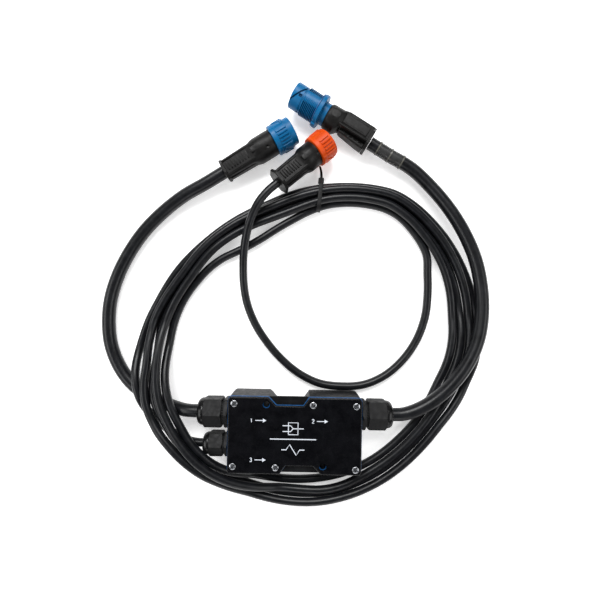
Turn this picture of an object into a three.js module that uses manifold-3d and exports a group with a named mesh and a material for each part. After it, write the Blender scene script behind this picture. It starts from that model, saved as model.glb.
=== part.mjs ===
// Trailer brake junction box with three glanded cables and bayonet connectors.
// Millimetres, +Z up. The origin is under the middle of the box, on the surface that it lies on.
import * as THREE from 'three';
import { mergeVertices } from 'three/addons/utils/BufferGeometryUtils.js';
import Module from 'manifold-3d';

const wasm = await Module();
wasm.setup();

// ---- driving dimensions ----
const GAP = 0.3;                       // clearance between pieces that touch
const BOX = { length: 140, width: 80, height: 42, wall: 3.2, floor: 3, corner: 4 };
const NOTCH = { mouthFrom: -28, mouthTo: 15, flatFrom: -19.5, flatTo: 9, depth: 8.8 };
const COVER_THICK = 2.8;
const GASKET_THICK = 1;
const GASKET_PROUD = 0.5;
const RIM = BOX.height - COVER_THICK - GASKET_THICK - 2 * GAP;   // top of the base
const COVER_SCREWS = [[-63.5, 33], [19, 32.5], [64, 32], [-64, -32.5], [-19.5, -33], [64, -34]];
const SHORT_BOSSES = [0, 2];           // the two screws above the large glands
const BOLT_HOLES = [[-30, 32], [30, -32]];
const BOLT_RADIUS = 3.75;
const GLAND_HEIGHT = 21;
const BOARD = { length: 98, width: 48, thick: 1.6, z: 8 };
const BOARD_SCREWS = [[-44, -20], [44, -20], [44, 20], [-44, 20]];
const THICK_CABLE = 14.4;
const THIN_CABLE = 9;

const LARGE_GLAND = {
  thread: 12.2, bore: 9, hex: 30, hexEnd: 6, collar: 14, collarEnd: 8.3, stub: 12.3, stubEnd: 22,
  seat: 10.3, seatStart: 16, nutEnd: 28, tip: 35, mouth: 7.9, tipRadius: 10.5, seal: 7.4,
};
const SMALL_GLAND = {
  thread: 9.8, bore: 7, hex: 24, hexEnd: 5, collar: 11.2, collarEnd: 6.9, stub: 9.8, stubEnd: 18,
  seat: 8.1, seatStart: 13, nutEnd: 22, tip: 29, mouth: 5.1, tipRadius: 7.6, seal: 4.7,
};

// Female connector: lengths along its own axis from the cable end.
const BLUE_SOCKET = {
  flange: 23.5, neckEnd: 35, bodyStart: 42, bodyEnd: 63, band: 18, collar: 6.5,
};
const ORANGE_SOCKET = {
  flange: 27, neckEnd: 32, bodyStart: 38, bodyEnd: 52, band: 18, collar: 2.4,
};
const PLUG = {
  gripEnd: 38, shellEnd: 54.5, neckEnd: 61, flangeEnd: 65.5, threadEnd: 84, grooveEnd: 85.5, tip: 97.3,
};

// Where each connector lies: the middle of its cable end, its heading and its pitch in degrees.
const BLUE_SOCKET_AT = { at: [-83.3, 282.3, 14.9], yaw: 31.5, pitch: 2.8 };
const ORANGE_SOCKET_AT = { at: [-22.9, 268.2, 27], yaw: 42, pitch: -7 };
const PLUG_AT = { at: [76.6, 317.4, 15.4], yaw: 149.9, pitch: 3 };

// Cable routes, hand chosen, on the cable's centre line.
const INLET_ROUTE = [
  [-105.5, 18.5, 21], [-118, 18.6, 19.8], [-132, 20, 15], [-146, 23.2, 9.9], [-161, 28.3, 7.5],
  [-178, 38, 7.3], [-192, 52, 7.3], [-203, 70, 7.3], [-210, 90, 7.3], [-212.5, 113, 7.3],
  [-211, 137, 7.3], [-204, 163, 7.3], [-192, 189, 7.3], [-175, 215, 7.3], [-154, 237, 8.2],
  [-129, 256, 11], [-104, 269.7, 13.7], [-83.8, 282, 14.87],
];
const OUTLET_ROUTE = [
  [105.5, 18.5, 21], [118, 19, 21], [134, 24.5, 21.4], [151, 35, 22.6], [169.5, 53, 24.4],
  [185.5, 76, 25.4], [196.5, 102, 24.8], [201.5, 130, 22.6], [201.5, 158, 19.8], [196, 188, 18],
  [184.5, 216, 17], [168.5, 243, 15.5], [149.5, 267, 13.5], [125, 290, 13], [99, 304.4, 14.1],
  [77.1, 317.1, 15.37],
];
const LEAD_IN_ROUTE = [
  [-99.5, -16, 21], [-108, -15.9, 20.2], [-116, -15.2, 18], [-124, -13.8, 14.6], [-132, -11.4, 11.2],
  [-140, -7.8, 8.9], [-147.5, -3, 8.3],
];
const LOOP_ROUTE = [
  [-23.3, 267.8, 27.06], [-33, 259, 28], [-43, 247, 27.5], [-51, 231, 25], [-56.5, 214, 21],
  [-60, 196, 15.3], [-61.5, 178, 9.2], [-61, 158, 5.4], [-57, 137, 4.8], [-48, 115, 4.8],
  [-35, 95, 4.8], [-18, 75.5, 4.8], [3, 58.5, 4.8], [27, 47.5, 4.8], [52, 44.6, 4.8], [77, 46.8, 4.8],
  [100, 57, 4.8], [120, 74.5, 4.8], [136, 98, 4.8], [145.5, 125, 4.8], [148, 150, 4.8],
  [147.5, 174, 4.8],
];

// Outer shape of the coil: angle in degrees about its middle, inner radius, outer radius, top height.
const COIL_CENTRE = [10, 92];
const COIL_STATIONS = [
  [0, 158, 196, 9.8], [15, 165, 201, 9.8], [30, 171, 203, 12], [45, 174, 204, 14], [60, 174, 203, 16.5],
  [75, 162, 190, 18], [84, 153, 182.5, 18], [95, 138, 175, 16], [107, 127, 168, 14],
  [120, 123, 165.5, 14], [135, 128, 166, 14], [150, 137, 171, 14], [165, 144, 178, 14],
  [180, 149, 192, 17], [190, 152, 197, 24], [197, 154, 199, 28], [205, 155, 197, 33],
  [212, 155.5, 193, 33.5], [220, 157, 188, 33.5], [230, 158, 185, 28], [240, 157.5, 182, 21],
  [255, 152, 181, 16], [270, 149, 181, 15], [285, 148, 180, 15], [300, 147.5, 179, 14],
  [315, 147, 178, 12], [330, 149, 180, 9.8], [345, 152, 190, 9.8],
];
const COIL_STEPS = 60;
const TIE_ANGLE = 85.5;
const TIE = { width: 4.4, thick: 1.2, slack: 0.6 };

// ---- materials ----
function coloured(colour, roughness, metalness = 0) {
  return new THREE.MeshStandardMaterial({ color: colour, roughness, metalness });
}
const HOUSING = coloured(0x17181a, 0.55);
const COVER = coloured(0x0b0c0e, 0.35);
const SILICONE = coloured(0x155a9c, 0.5);
const ZINC = coloured(0xb9bcc0, 0.3, 1);
const BOARD_GREEN = coloured(0x14502e, 0.5);
const TERMINAL_GREEN = coloured(0x2c8a4a, 0.5);
const RELAY_BLACK = coloured(0x202226, 0.45);
const CAN = coloured(0x3a4452, 0.4, 0.3);
const GLAND_BLACK = coloured(0x202021, 0.6);
const RUBBER = coloured(0x0d0d0e, 0.8);
const CABLE_BLACK = coloured(0x101113, 0.35);
const SHELL_BLACK = coloured(0x1a1a1b, 0.65);
const BLUE = coloured(0x1d66ac, 0.45);
const ORANGE = coloured(0xe04b16, 0.45);
const PIN_METAL = coloured(0xc9a24a, 0.25, 1);
const CLEAR = coloured(0x55585a, 0.25);

// ---- geometry helpers ----

// Weld the corners, drop empty triangles and turn the faces outward.
function closed(geometry) {
  const bare = geometry.clone();
  bare.deleteAttribute('normal');
  bare.deleteAttribute('uv');
  const welded = mergeVertices(bare, 1e-4);
  const position = welded.attributes.position;
  const corner = (i) => new THREE.Vector3().fromBufferAttribute(position, i);
  const kept = [];
  let volume = 0;
  for (let i = 0; i < welded.index.count; i += 3) {
    const [a, b, c] = [0, 1, 2].map((k) => welded.index.getX(i + k));
    if (a === b || b === c || c === a) continue;
    kept.push(a, b, c);
    volume += corner(a).dot(corner(b).cross(corner(c)));
  }
  if (volume < 0) kept.reverse();
  welded.setIndex(kept);
  return welded;
}

function solid(geometry) {
  const shape = closed(geometry);
  return new wasm.Manifold(new wasm.Mesh({
    numProp: 3,
    vertProperties: new Float32Array(shape.attributes.position.array),
    triVerts: new Uint32Array(shape.index.array),
  }));
}

function geometryOf(manifold) {
  const mesh = manifold.getMesh();
  const geometry = new THREE.BufferGeometry();
  geometry.setAttribute('position', new THREE.BufferAttribute(new Float32Array(mesh.vertProperties), 3));
  geometry.setIndex(Array.from(mesh.triVerts));
  return geometry;
}

// Join the first list of geometries, then cut the second list away.
function build(joined, cuts = []) {
  let shape = solid(joined[0]);
  for (const extra of joined.slice(1)) shape = shape.add(solid(extra));
  for (const cut of cuts) shape = shape.subtract(solid(cut));
  return geometryOf(shape);
}

function box(x0, x1, y0, y1, z0, z1) {
  const geometry = new THREE.BoxGeometry(x1 - x0, y1 - y0, z1 - z0);
  return geometry.translate((x0 + x1) / 2, (y0 + y1) / 2, (z0 + z1) / 2);
}

// A body of revolution about X from [x, radius] corners, starting and ending on the axis or closed.
function turned(profile, sides = 20) {
  const points = profile.map(([x, r]) => new THREE.Vector2(r, x));
  return new THREE.LatheGeometry(points, sides).rotateZ(-Math.PI / 2);
}

function rodX(x0, x1, radius, sides = 20) {
  return turned([[x0, 0], [x0, radius], [x1, radius], [x1, 0]], sides);
}

function rodZ(x, y, z0, z1, radius, sides = 14) {
  const geometry = new THREE.CylinderGeometry(radius, radius, z1 - z0, sides);
  return geometry.rotateX(Math.PI / 2).translate(x, y, (z0 + z1) / 2);
}

// A hexagonal prism along X with flats facing +Y and -Y.
function hexX(x0, x1, acrossFlats) {
  return rodX(x0, x1, acrossFlats / Math.sqrt(3), 6);
}

function slab(shape, z0, z1) {
  const geometry = new THREE.ExtrudeGeometry(shape, { depth: z1 - z0, bevelEnabled: false, curveSegments: 3 });
  return geometry.translate(0, 0, z0);
}

// The box outline, grown outward by the given distance, with its two point-symmetric notches.
function outline(grow) {
  const halfX = BOX.length / 2 + grow;
  const halfY = BOX.width / 2 + grow;
  const radius = Math.max(BOX.corner + grow, 0.5);
  const side = 0.6 * grow;
  const notch = [
    [-NOTCH.mouthTo + side, -halfY], [-NOTCH.flatTo + side, -halfY + NOTCH.depth],
    [-NOTCH.flatFrom - side, -halfY + NOTCH.depth], [-NOTCH.mouthFrom - side, -halfY],
  ];
  const shape = new THREE.Shape();
  shape.moveTo(-halfX + radius, -halfY);
  for (const [x, y] of notch) shape.lineTo(x, y);
  shape.absarc(halfX - radius, -halfY + radius, radius, -Math.PI / 2, 0);
  shape.absarc(halfX - radius, halfY - radius, radius, 0, Math.PI / 2);
  for (const [x, y] of notch) shape.lineTo(-x, -y);
  shape.absarc(-halfX + radius, halfY - radius, radius, Math.PI / 2, Math.PI);
  shape.absarc(-halfX + radius, -halfY + radius, radius, Math.PI, 1.5 * Math.PI);
  return shape;
}

function polygon(points) {
  return new THREE.Shape(points.map(([x, y]) => new THREE.Vector2(x, y)));
}

// A straight bar along X with the given [y, z] section.
function barX(section, x0, x1) {
  const geometry = slab(polygon(section), 0, x1 - x0);
  const toX = new THREE.Matrix4().set(0, 0, 1, x0, 1, 0, 0, 0, 0, 1, 0, 0, 0, 0, 0, 1);
  return geometry.applyMatrix4(toX);
}

function chamfered(halfY, halfZ, chamfer) {
  return [
    [-halfY + chamfer, -halfZ], [halfY - chamfer, -halfZ], [halfY, -halfZ + chamfer], [halfY, halfZ - chamfer],
    [halfY - chamfer, halfZ], [-halfY + chamfer, halfZ], [-halfY, halfZ - chamfer], [-halfY, -halfZ + chamfer],
  ];
}

function circle(radius, sides) {
  const points = [];
  for (let i = 0; i < sides; i++) {
    const turn = (2 * Math.PI * i) / sides;
    points.push([radius * Math.cos(turn), radius * Math.sin(turn)]);
  }
  return polygon(points);
}

function route(points) {
  return new THREE.CatmullRomCurve3(points.map((p) => new THREE.Vector3(...p)), false, 'centripetal');
}

function tube(points, diameter, steps, sides = 12) {
  const settings = { steps, extrudePath: route(points), bevelEnabled: false };
  return new THREE.ExtrudeGeometry(circle(diameter / 2, sides), settings);
}

const model = new THREE.Group();
model.name = 'brake_junction_box';

function add(name, geometry, material, group = model) {
  const mesh = new THREE.Mesh(closed(geometry), material);
  mesh.name = name;
  group.add(mesh);
  return mesh;
}

// ---- box ----

const GLANDS = [
  { name: 'inlet', gland: LARGE_GLAND, side: -1, y: 18.5 },
  { name: 'outlet', gland: LARGE_GLAND, side: 1, y: 18.5 },
  { name: 'warning', gland: SMALL_GLAND, side: -1, y: -16 },
];
const BOSS_RADIUS = 4;
const SCREW_HOLE_FLOOR = 33.6;
const SHELF = { from: 33.4, to: 36 };   // heights of the ledge that closes each notch

// The ledge across a notch. The side is -1 at the -Y edge and 1 at the +Y edge.
function shelf(side) {
  const [edge, foot] = [-BOX.width / 2, -BOX.width / 2 + NOTCH.depth + 1];
  const corners = [
    [-NOTCH.mouthTo, edge], [-NOTCH.mouthFrom, edge], [-NOTCH.flatFrom, foot], [-NOTCH.flatTo, foot],
  ];
  return slab(polygon(corners.map(([x, y]) => [-side * x, -side * y])), SHELF.from, SHELF.to);
}

function housingBase() {
  const shell = solid(slab(outline(0), 0, RIM));
  const cavity = solid(slab(outline(-BOX.wall), BOX.floor, RIM + 1));
  let shape = shell.subtract(cavity).add(solid(shelf(-1))).add(solid(shelf(1)));
  COVER_SCREWS.forEach(([x, y], i) => {
    const foot = SHORT_BOSSES.includes(i) ? SCREW_HOLE_FLOOR - 0.9 : BOX.floor - 1;
    shape = shape.add(solid(rodZ(x, y, foot, RIM, BOSS_RADIUS)));
  });
  for (const [x, y] of BOLT_HOLES) shape = shape.add(solid(rodZ(x, y, 1, RIM, 6.4)));
  for (const [x, y] of BOARD_SCREWS) shape = shape.add(solid(rodZ(x, y, 1, BOARD.z - GAP, 3, 12)));
  for (const [x, y] of COVER_SCREWS) shape = shape.subtract(solid(rodZ(x, y, SCREW_HOLE_FLOOR, RIM + 1, 1.9, 12)));
  for (const [x, y] of BOLT_HOLES) shape = shape.subtract(solid(rodZ(x, y, -1, RIM + 1, BOLT_RADIUS)));
  for (const [x, y] of BOARD_SCREWS) shape = shape.subtract(solid(rodZ(x, y, 3.7, BOARD.z + 1, 1.3, 12)));
  for (const { gland, side, y } of GLANDS) {
    const hole = rodX(-BOX.wall - 2, 2, gland.thread + GAP).translate(BOX.length / 2, y, GLAND_HEIGHT);
    if (side < 0) hole.translate(-BOX.length, 0, 0);
    shape = shape.subtract(solid(side < 0 ? hole.translate(BOX.wall, 0, 0) : hole));
  }
  return geometryOf(shape);
}

function gasket() {
  const z0 = RIM + GAP;
  const z1 = z0 + GASKET_THICK;
  const cuts = [slab(outline(-12), z0 - 1, z1 + 1)];
  for (const [x, y] of COVER_SCREWS) cuts.push(rodZ(x, y, z0 - 1, z1 + 1, 2, 12));
  for (const [x, y] of BOLT_HOLES) cuts.push(rodZ(x, y, z0 - 1, z1 + 1, BOLT_RADIUS - 0.4));
  return build([slab(outline(GASKET_PROUD), z0, z1)], cuts);
}

const COVER_BOTTOM = BOX.height - COVER_THICK;
const SCREW_SEAT = BOX.height - 1.4;

function coverPlate() {
  const cuts = [];
  for (const [x, y] of COVER_SCREWS) {
    cuts.push(rodZ(x, y, COVER_BOTTOM - 1, BOX.height + 1, 2, 12));
    cuts.push(rodZ(x, y, SCREW_SEAT, BOX.height + 1, 4.2));
  }
  for (const [x, y] of BOLT_HOLES) cuts.push(rodZ(x, y, COVER_BOTTOM - 1, BOX.height + 1, BOLT_RADIUS));
  const rim = slab(outline(0), COVER_BOTTOM, BOX.height - 1);
  return build([rim, slab(outline(-1), BOX.height - 1.5, BOX.height)], cuts);
}

// A pan-head screw standing on Z, with a crossed recess.
function screw(x, y, tip, seat, shank, head, headHeight) {
  const body = turned([
    [tip, 0], [tip, shank], [seat, shank], [seat, head], [seat + headHeight * 0.6, head],
    [seat + headHeight, head * 0.7], [seat + headHeight, 0],
  ], 10).rotateY(-Math.PI / 2);
  const top = seat + headHeight;
  const slot = head * 0.55;
  const cross = [
    box(-slot, slot, -head * 0.1, head * 0.1, top - headHeight * 0.5, top + 1),
    box(-head * 0.1, head * 0.1, -slot, slot, top - headHeight * 0.5, top + 1),
  ];
  return build([body], cross).translate(x, y, 0);
}

function addBox() {
  add('housing_base', housingBase(), HOUSING);
  add('gasket', gasket(), SILICONE);
  add('cover_plate', coverPlate(), COVER);
  COVER_SCREWS.forEach(([x, y], i) => {
    add(`cover_screw_${i + 1}`, screw(x, y, SCREW_HOLE_FLOOR + GAP, SCREW_SEAT + GAP, 1.6, 3.65, 1.9), ZINC);
  });
}

// ---- circuit board ----

function circuitBoard() {
  const cuts = BOARD_SCREWS.map(([x, y]) => rodZ(x, y, BOARD.z - 1, BOARD.z + 3, 1.4, 12));
  const [hx, hy] = [BOARD.length / 2, BOARD.width / 2];
  return build([box(-hx, hx, -hy, hy, BOARD.z, BOARD.z + BOARD.thick)], cuts);
}

// A row of screw terminals whose wire mouths face the given side.
function terminalBlock(x, y, ways, side) {
  const pitch = 4.4;
  const [depth, length, height] = [10, ways * pitch, 12];
  const z0 = BOARD.z + BOARD.thick + GAP;
  const cuts = [];
  for (let i = 0; i < ways; i++) {
    const middle = -length / 2 + (i + 0.5) * pitch;
    const face = side * depth / 2;
    cuts.push(box(face - 4, face + 4, middle - 1.4, middle + 1.4, 2.5, 5.8));
    cuts.push(rodZ(-side * 1, middle, height - 1.5, height + 1, 1.4, 8));
  }
  return build([box(-depth / 2, depth / 2, -length / 2, length / 2, 0, height)], cuts).translate(x, y, z0);
}

function addBoard() {
  const top = BOARD.z + BOARD.thick + GAP;
  add('circuit_board', circuitBoard(), BOARD_GREEN);
  BOARD_SCREWS.forEach(([x, y], i) => {
    add(`board_screw_${i + 1}`, screw(x, y, 4, top, 1, 2.5, 1.5), ZINC);
  });
  add('terminal_block_inlet', terminalBlock(-34, 11, 5, -1), TERMINAL_GREEN);
  add('terminal_block_warning', terminalBlock(-34, -14, 4, -1), TERMINAL_GREEN);
  add('terminal_block_outlet', terminalBlock(34, 11, 5, 1), TERMINAL_GREEN);
  add('relay', box(-14, 6, 3, 19, top, top + 16), RELAY_BLACK);
  add('capacitor', rodZ(16, -12, top, top + 16, 5), CAN);
  add('controller_chip', box(-14, -2, -18, -6, top, top + 2.4), RELAY_BLACK);
}

// ---- cable glands, each built outward along +X from the outer face of the wall ----

function glandBody(g) {
  const core = turned([
    [-9.5, 0], [-9.5, g.thread], [1.8, g.thread], [1.8, g.collar], [g.collarEnd, g.collar],
    [g.collarEnd, g.stub], [g.stubEnd, g.stub], [g.stubEnd, 0],
  ]);
  const bore = turned([
    [-11, 0], [-11, g.bore], [g.seatStart, g.bore], [g.seatStart, g.seat], [g.stubEnd + 1, g.seat],
    [g.stubEnd + 1, 0],
  ]);
  return build([core, hexX(1.8, g.hexEnd, g.hex)], [bore]);
}

function glandNut(g) {
  const start = g.collarEnd + GAP;
  const dome = turned([
    [start + 2, 0], [start + 2, g.hex / 2], [g.nutEnd, g.hex / 2], [g.nutEnd + 3, g.hex / 2 - 0.8],
    [g.nutEnd + 5.5, (g.hex / 2 + g.tipRadius) / 2], [g.tip, g.tipRadius], [g.tip, 0],
  ]);
  const hollow = turned([
    [start - 1, 0], [start - 1, g.stub + GAP], [g.stubEnd + 0.6, g.stub + GAP], [g.stubEnd + 0.6, g.seat + 0.1],
    [g.nutEnd + 1, g.seat + 0.1], [g.tip - 1.5, g.mouth], [g.tip + 1, g.mouth], [g.tip + 1, 0],
  ]);
  return build([dome, hexX(start, g.nutEnd, g.hex)], [hollow]);
}

function ring(x0, x1, inner, outer, sides = 20) {
  return turned([[x0, inner], [x0, outer], [x1, outer], [x1, inner], [x0, inner]], sides);
}

function addGlands() {
  for (const { name, gland, side, y } of GLANDS) {
    const group = new THREE.Group();
    group.position.set(side * BOX.length / 2, y, GLAND_HEIGHT);
    if (side < 0) group.rotation.z = Math.PI;
    model.add(group);
    const wallFace = -BOX.wall - GAP;
    add(`${name}_gland_body`, glandBody(gland), GLAND_BLACK, group);
    add(`${name}_gland_washer`, ring(GAP, 1.5, gland.thread + GAP, gland.hex / 2 - 0.3), RUBBER, group);
    add(`${name}_gland_locknut`,
      build([hexX(wallFace - 5, wallFace, gland.hex - 2)], [rodX(-20, 5, gland.thread + GAP)]), GLAND_BLACK, group);
    add(`${name}_gland_seal`,
      ring(gland.seatStart + GAP, gland.nutEnd + 0.5, gland.seal, gland.seat - GAP), RUBBER, group);
    add(`${name}_gland_nut`, glandNut(gland), GLAND_BLACK, group);
  }
}

// ---- connectors, each built along +X from the face where the cable enters ----

function placed({ at, yaw, pitch }) {
  const group = new THREE.Group();
  group.position.set(...at);
  group.rotation.order = 'ZYX';
  group.rotation.z = THREE.MathUtils.degToRad(yaw);
  group.rotation.y = -THREE.MathUtils.degToRad(pitch);
  model.add(group);
  return group;
}

const FLANGE_THICK = 3.5;
const BODY_RADIUS = 14.3;
const NECK = { halfY: 10.7, halfZ: 9.6, chamfer: 3 };
const CARRIER_RADIUS = 11.2;
const CARRIER_DEPTH = 12;

function octagon(width) {
  const half = width / 2;
  return chamfered(half, half, half * 0.55);
}

function socketShell(s) {
  const joined = [
    barX(octagon(s.flange), 0, FLANGE_THICK),
    barX(chamfered(NECK.halfY, NECK.halfZ, NECK.chamfer), FLANGE_THICK - 1, s.neckEnd),
    turned([[s.neckEnd - 3, 0], [s.neckEnd - 3, 10], [s.bodyStart, BODY_RADIUS], [s.bodyEnd, BODY_RADIUS],
      [s.bodyEnd, 0]]),
  ];
  const ribs = 8;
  const pitch = (s.neckEnd - FLANGE_THICK - 6) / ribs;
  for (let i = 0; i < ribs; i++) {
    const x = FLANGE_THICK + 3 + i * pitch;
    joined.push(box(x, x + pitch * 0.5, -5.5, 5.5, -NECK.halfZ - 1, NECK.halfZ + 1));
  }
  return build(joined, [rodX(s.bodyEnd - CARRIER_DEPTH, s.bodyEnd + 1, CARRIER_RADIUS + GAP)]);
}

const RING = {
  outer: 16.2, collar: 15.1, inner: 14.3, lip: 12.5, rib: 17.3, ribWidth: 1.5,
  ribs: 6, ribsAt: 26, ribPitch: 12, windowAt: -46,
};

function couplingRing(s) {
  const start = s.bodyEnd + GAP;
  const bandEnd = start + s.band;
  const front = bandEnd + s.collar;
  const sleeve = turned([
    [start, RING.lip], [start, RING.outer], [bandEnd, RING.outer], [bandEnd, RING.collar],
    [front, RING.collar], [front, RING.inner], [start + 2.5, RING.inner], [start + 2.5, RING.lip],
    [start, RING.lip],
  ], 27);
  const joined = [sleeve];
  const cuts = [];
  for (let third = 0; third < 3; third++) {
    for (let k = 0; k < RING.ribs; k++) {
      const fromMiddle = RING.ribPitch * (k - (RING.ribs - 1) / 2);
      const turn = THREE.MathUtils.degToRad(third * 120 + RING.ribsAt + fromMiddle);
      const rib = box(start + 5, bandEnd - 1, -RING.ribWidth / 2, RING.ribWidth / 2, RING.outer - 1, RING.rib);
      joined.push(rib.rotateX(turn));
    }
    const window = box(start + 6, bandEnd - 4, -4, 4, RING.inner - 2, RING.rib + 2);
    cuts.push(window.rotateX(THREE.MathUtils.degToRad(third * 120 + RING.windowAt)));
  }
  return build(joined, cuts);
}

const CONTACTS = 7;
const CONTACT_CIRCLE = 7.2;

// Positions of the contacts: one in the middle and the rest on a circle.
function contactPlaces() {
  const places = [[0, 0]];
  for (let i = 0; i < CONTACTS - 1; i++) {
    const turn = (2 * Math.PI * i) / (CONTACTS - 1);
    places.push([CONTACT_CIRCLE * Math.cos(turn), CONTACT_CIRCLE * Math.sin(turn)]);
  }
  return places;
}

function socketCarrier(s) {
  const rear = s.bodyEnd - CARRIER_DEPTH + GAP;
  const front = s.bodyEnd + s.band + s.collar - 1.5;
  const cuts = contactPlaces().map(([y, z]) => rodX(front - 9, front + 1, 1.5, 6).translate(0, y, z));
  const core = turned([
    [rear, 0], [rear, CARRIER_RADIUS], [s.bodyEnd + 1, CARRIER_RADIUS], [s.bodyEnd + 1, CARRIER_RADIUS + 0.6],
    [front, CARRIER_RADIUS + 0.6], [front, 0],
  ]);
  return build([core], cuts);
}

function addSocket(name, s, place, colour) {
  const group = placed(place);
  const sealStart = s.bodyEnd + 4;
  add(`${name}_shell`, socketShell(s), SHELL_BLACK, group);
  add(`${name}_carrier`, socketCarrier(s), colour, group);
  add(`${name}_seal`, ring(sealStart, sealStart + 2, CARRIER_RADIUS + 0.9, RING.inner - 0.4), RUBBER, group);
  add(`${name}_coupling_ring`, couplingRing(s), colour, group);
}

function plugShell() {
  const grip = [[-13.4, -9], [-10.5, -11.5], [5.6, -11.5], [5.6, 11.5], [-10.5, 11.5], [-13.4, 9]];
  return build([
    barX(octagon(27), 0, FLANGE_THICK),
    barX(grip, FLANGE_THICK - 1, PLUG.gripEnd),
    turned([[PLUG.gripEnd - 2, 0], [PLUG.gripEnd - 2, 13], [PLUG.gripEnd + 4, BODY_RADIUS],
      [PLUG.shellEnd - 3, BODY_RADIUS - 0.4], [PLUG.shellEnd, 13.2], [PLUG.shellEnd, 0]]),
  ]);
}

// A wedge that is thickest where the cable enters.
function plugClamp() {
  const start = FLANGE_THICK + GAP;
  const end = PLUG.gripEnd - 2 - GAP;
  const [under, thin, thick] = [6, 9.2, 12.8];
  const points = [[start, under], [end, under], [end, thin], [start + 8, thick - 0.4], [start, thick]];
  return slab(polygon(points), -8, 6);
}

const BARREL = 14.1;
const BARREL_BORE = 12.4;
const INSERT_BACK = 70;

function plugBarrel() {
  const ridges = 5;
  const pitch = (PLUG.threadEnd - PLUG.flangeEnd - 1) / ridges;
  const profile = [
    [PLUG.shellEnd + GAP, 0], [PLUG.shellEnd + GAP, 12.2], [PLUG.neckEnd, 12.2], [PLUG.neckEnd, 18.2],
    [PLUG.flangeEnd, 18.2], [PLUG.flangeEnd, 14.6],
  ];
  for (let i = 0; i < ridges; i++) {
    const x = PLUG.flangeEnd + 1 + i * pitch;
    profile.push([x + pitch * 0.3, 15.5]);
    profile.push([x + pitch * 0.9, 14.7]);
  }
  profile.push([PLUG.threadEnd, 13.5], [PLUG.grooveEnd, 13.5], [PLUG.grooveEnd, BARREL], [PLUG.tip, BARREL]);
  profile.push([PLUG.tip, 0]);
  const cuts = [rodX(INSERT_BACK, PLUG.tip + 1, BARREL_BORE)];
  for (let third = 0; third < 3; third++) {
    const slot = box(PLUG.tip - 9, PLUG.tip + 1, -2.2, 2.2, BARREL - 0.8, BARREL + 2);
    cuts.push(slot.rotateX(THREE.MathUtils.degToRad(third * 120 + 20)));
  }
  return build([turned(profile, 24)], cuts);
}

function plugInsert() {
  const disc = rodX(INSERT_BACK + GAP, INSERT_BACK + 5, BARREL_BORE - GAP);
  const pins = contactPlaces().map(([y, z]) => rodX(INSERT_BACK + 4, PLUG.tip - 7.5, 1.2, 6).translate(0, y, z));
  return build([disc, ...pins]);
}

function addPlug() {
  const group = placed(PLUG_AT);
  const face = PLUG.flangeEnd + GAP;
  add('blue_plug_shell', plugShell(), SHELL_BLACK, group);
  add('blue_plug_clamp', plugClamp(), SHELL_BLACK, group);
  add('blue_plug_barrel', plugBarrel(), BLUE, group);
  add('blue_plug_insert', plugInsert(), PIN_METAL, group);
  add('blue_plug_gasket', ring(face, face + 1.2, 15.9, 17.6, 24), RUBBER, group);
}

// ---- cables ----

// Straight-line mix of the coil's stations at an angle in degrees, eased between them.
function coilSection(degrees) {
  const count = COIL_STATIONS.length;
  const wrapped = ((degrees % 360) + 360) % 360;
  let i = count - 1;
  while (COIL_STATIONS[i][0] > wrapped) i -= 1;
  const from = COIL_STATIONS[i];
  const to = COIL_STATIONS[(i + 1) % count];
  const span = (to[0] - from[0] + 360) % 360;
  const t = THREE.MathUtils.smoothstep((wrapped - from[0]) / span, 0, 1);
  const [inner, outer, top] = [1, 2, 3].map((k) => from[k] + (to[k] - from[k]) * t);
  const away = (wrapped - TIE_ANGLE) / 12;
  const foot = 0.2 + 1.8 * Math.exp(-away * away);
  return { inner, outer, top, foot };
}

// One corner loop of the coil's section, as [radius, height].
function coilCorners({ inner, outer, top, foot }) {
  const shoulder = Math.min(top - 2.5, foot + 6);
  const lean = 0.45 * (top - shoulder) + 0.8;
  return [
    [inner, foot + 2.5], [inner + 2.5, foot], [outer - 2.5, foot], [outer, foot + 2.5],
    [outer, shoulder], [outer - lean, top], [inner + lean, top], [inner, shoulder],
  ];
}

function coilRing() {
  const corners = 8;
  const positions = [];
  const index = [];
  for (let i = 0; i < COIL_STEPS; i++) {
    const degrees = (360 * i) / COIL_STEPS;
    const turn = THREE.MathUtils.degToRad(degrees);
    for (const [radius, height] of coilCorners(coilSection(degrees))) {
      positions.push(COIL_CENTRE[0] + radius * Math.cos(turn), COIL_CENTRE[1] + radius * Math.sin(turn), height);
    }
    for (let k = 0; k < corners; k++) {
      const [a, b] = [i * corners + k, i * corners + ((k + 1) % corners)];
      const next = ((i + 1) % COIL_STEPS) * corners;
      const [c, d] = [next + k, next + ((k + 1) % corners)];
      index.push(a, b, d, a, d, c);
    }
  }
  const geometry = new THREE.BufferGeometry();
  geometry.setAttribute('position', new THREE.Float32BufferAttribute(positions, 3));
  geometry.setIndex(index);
  return geometry;
}

// The space that a cable crossing the coil needs, open down to the surface where it runs below.
function crossing(points, diameter, steps, below) {
  const clear = tube(points, diameter + 1.2, steps);
  if (!below) return [clear];
  const cuts = [clear];
  for (let drop = 1; drop <= 3; drop++) {
    cuts.push(tube(points.map(([x, y, z]) => [x, y, z - drop * diameter * 0.3]), diameter + 1.2, steps));
  }
  return cuts;
}

const STEPS = { inlet: 15, outlet: 14, leadIn: 5, loop: 24 };

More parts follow.
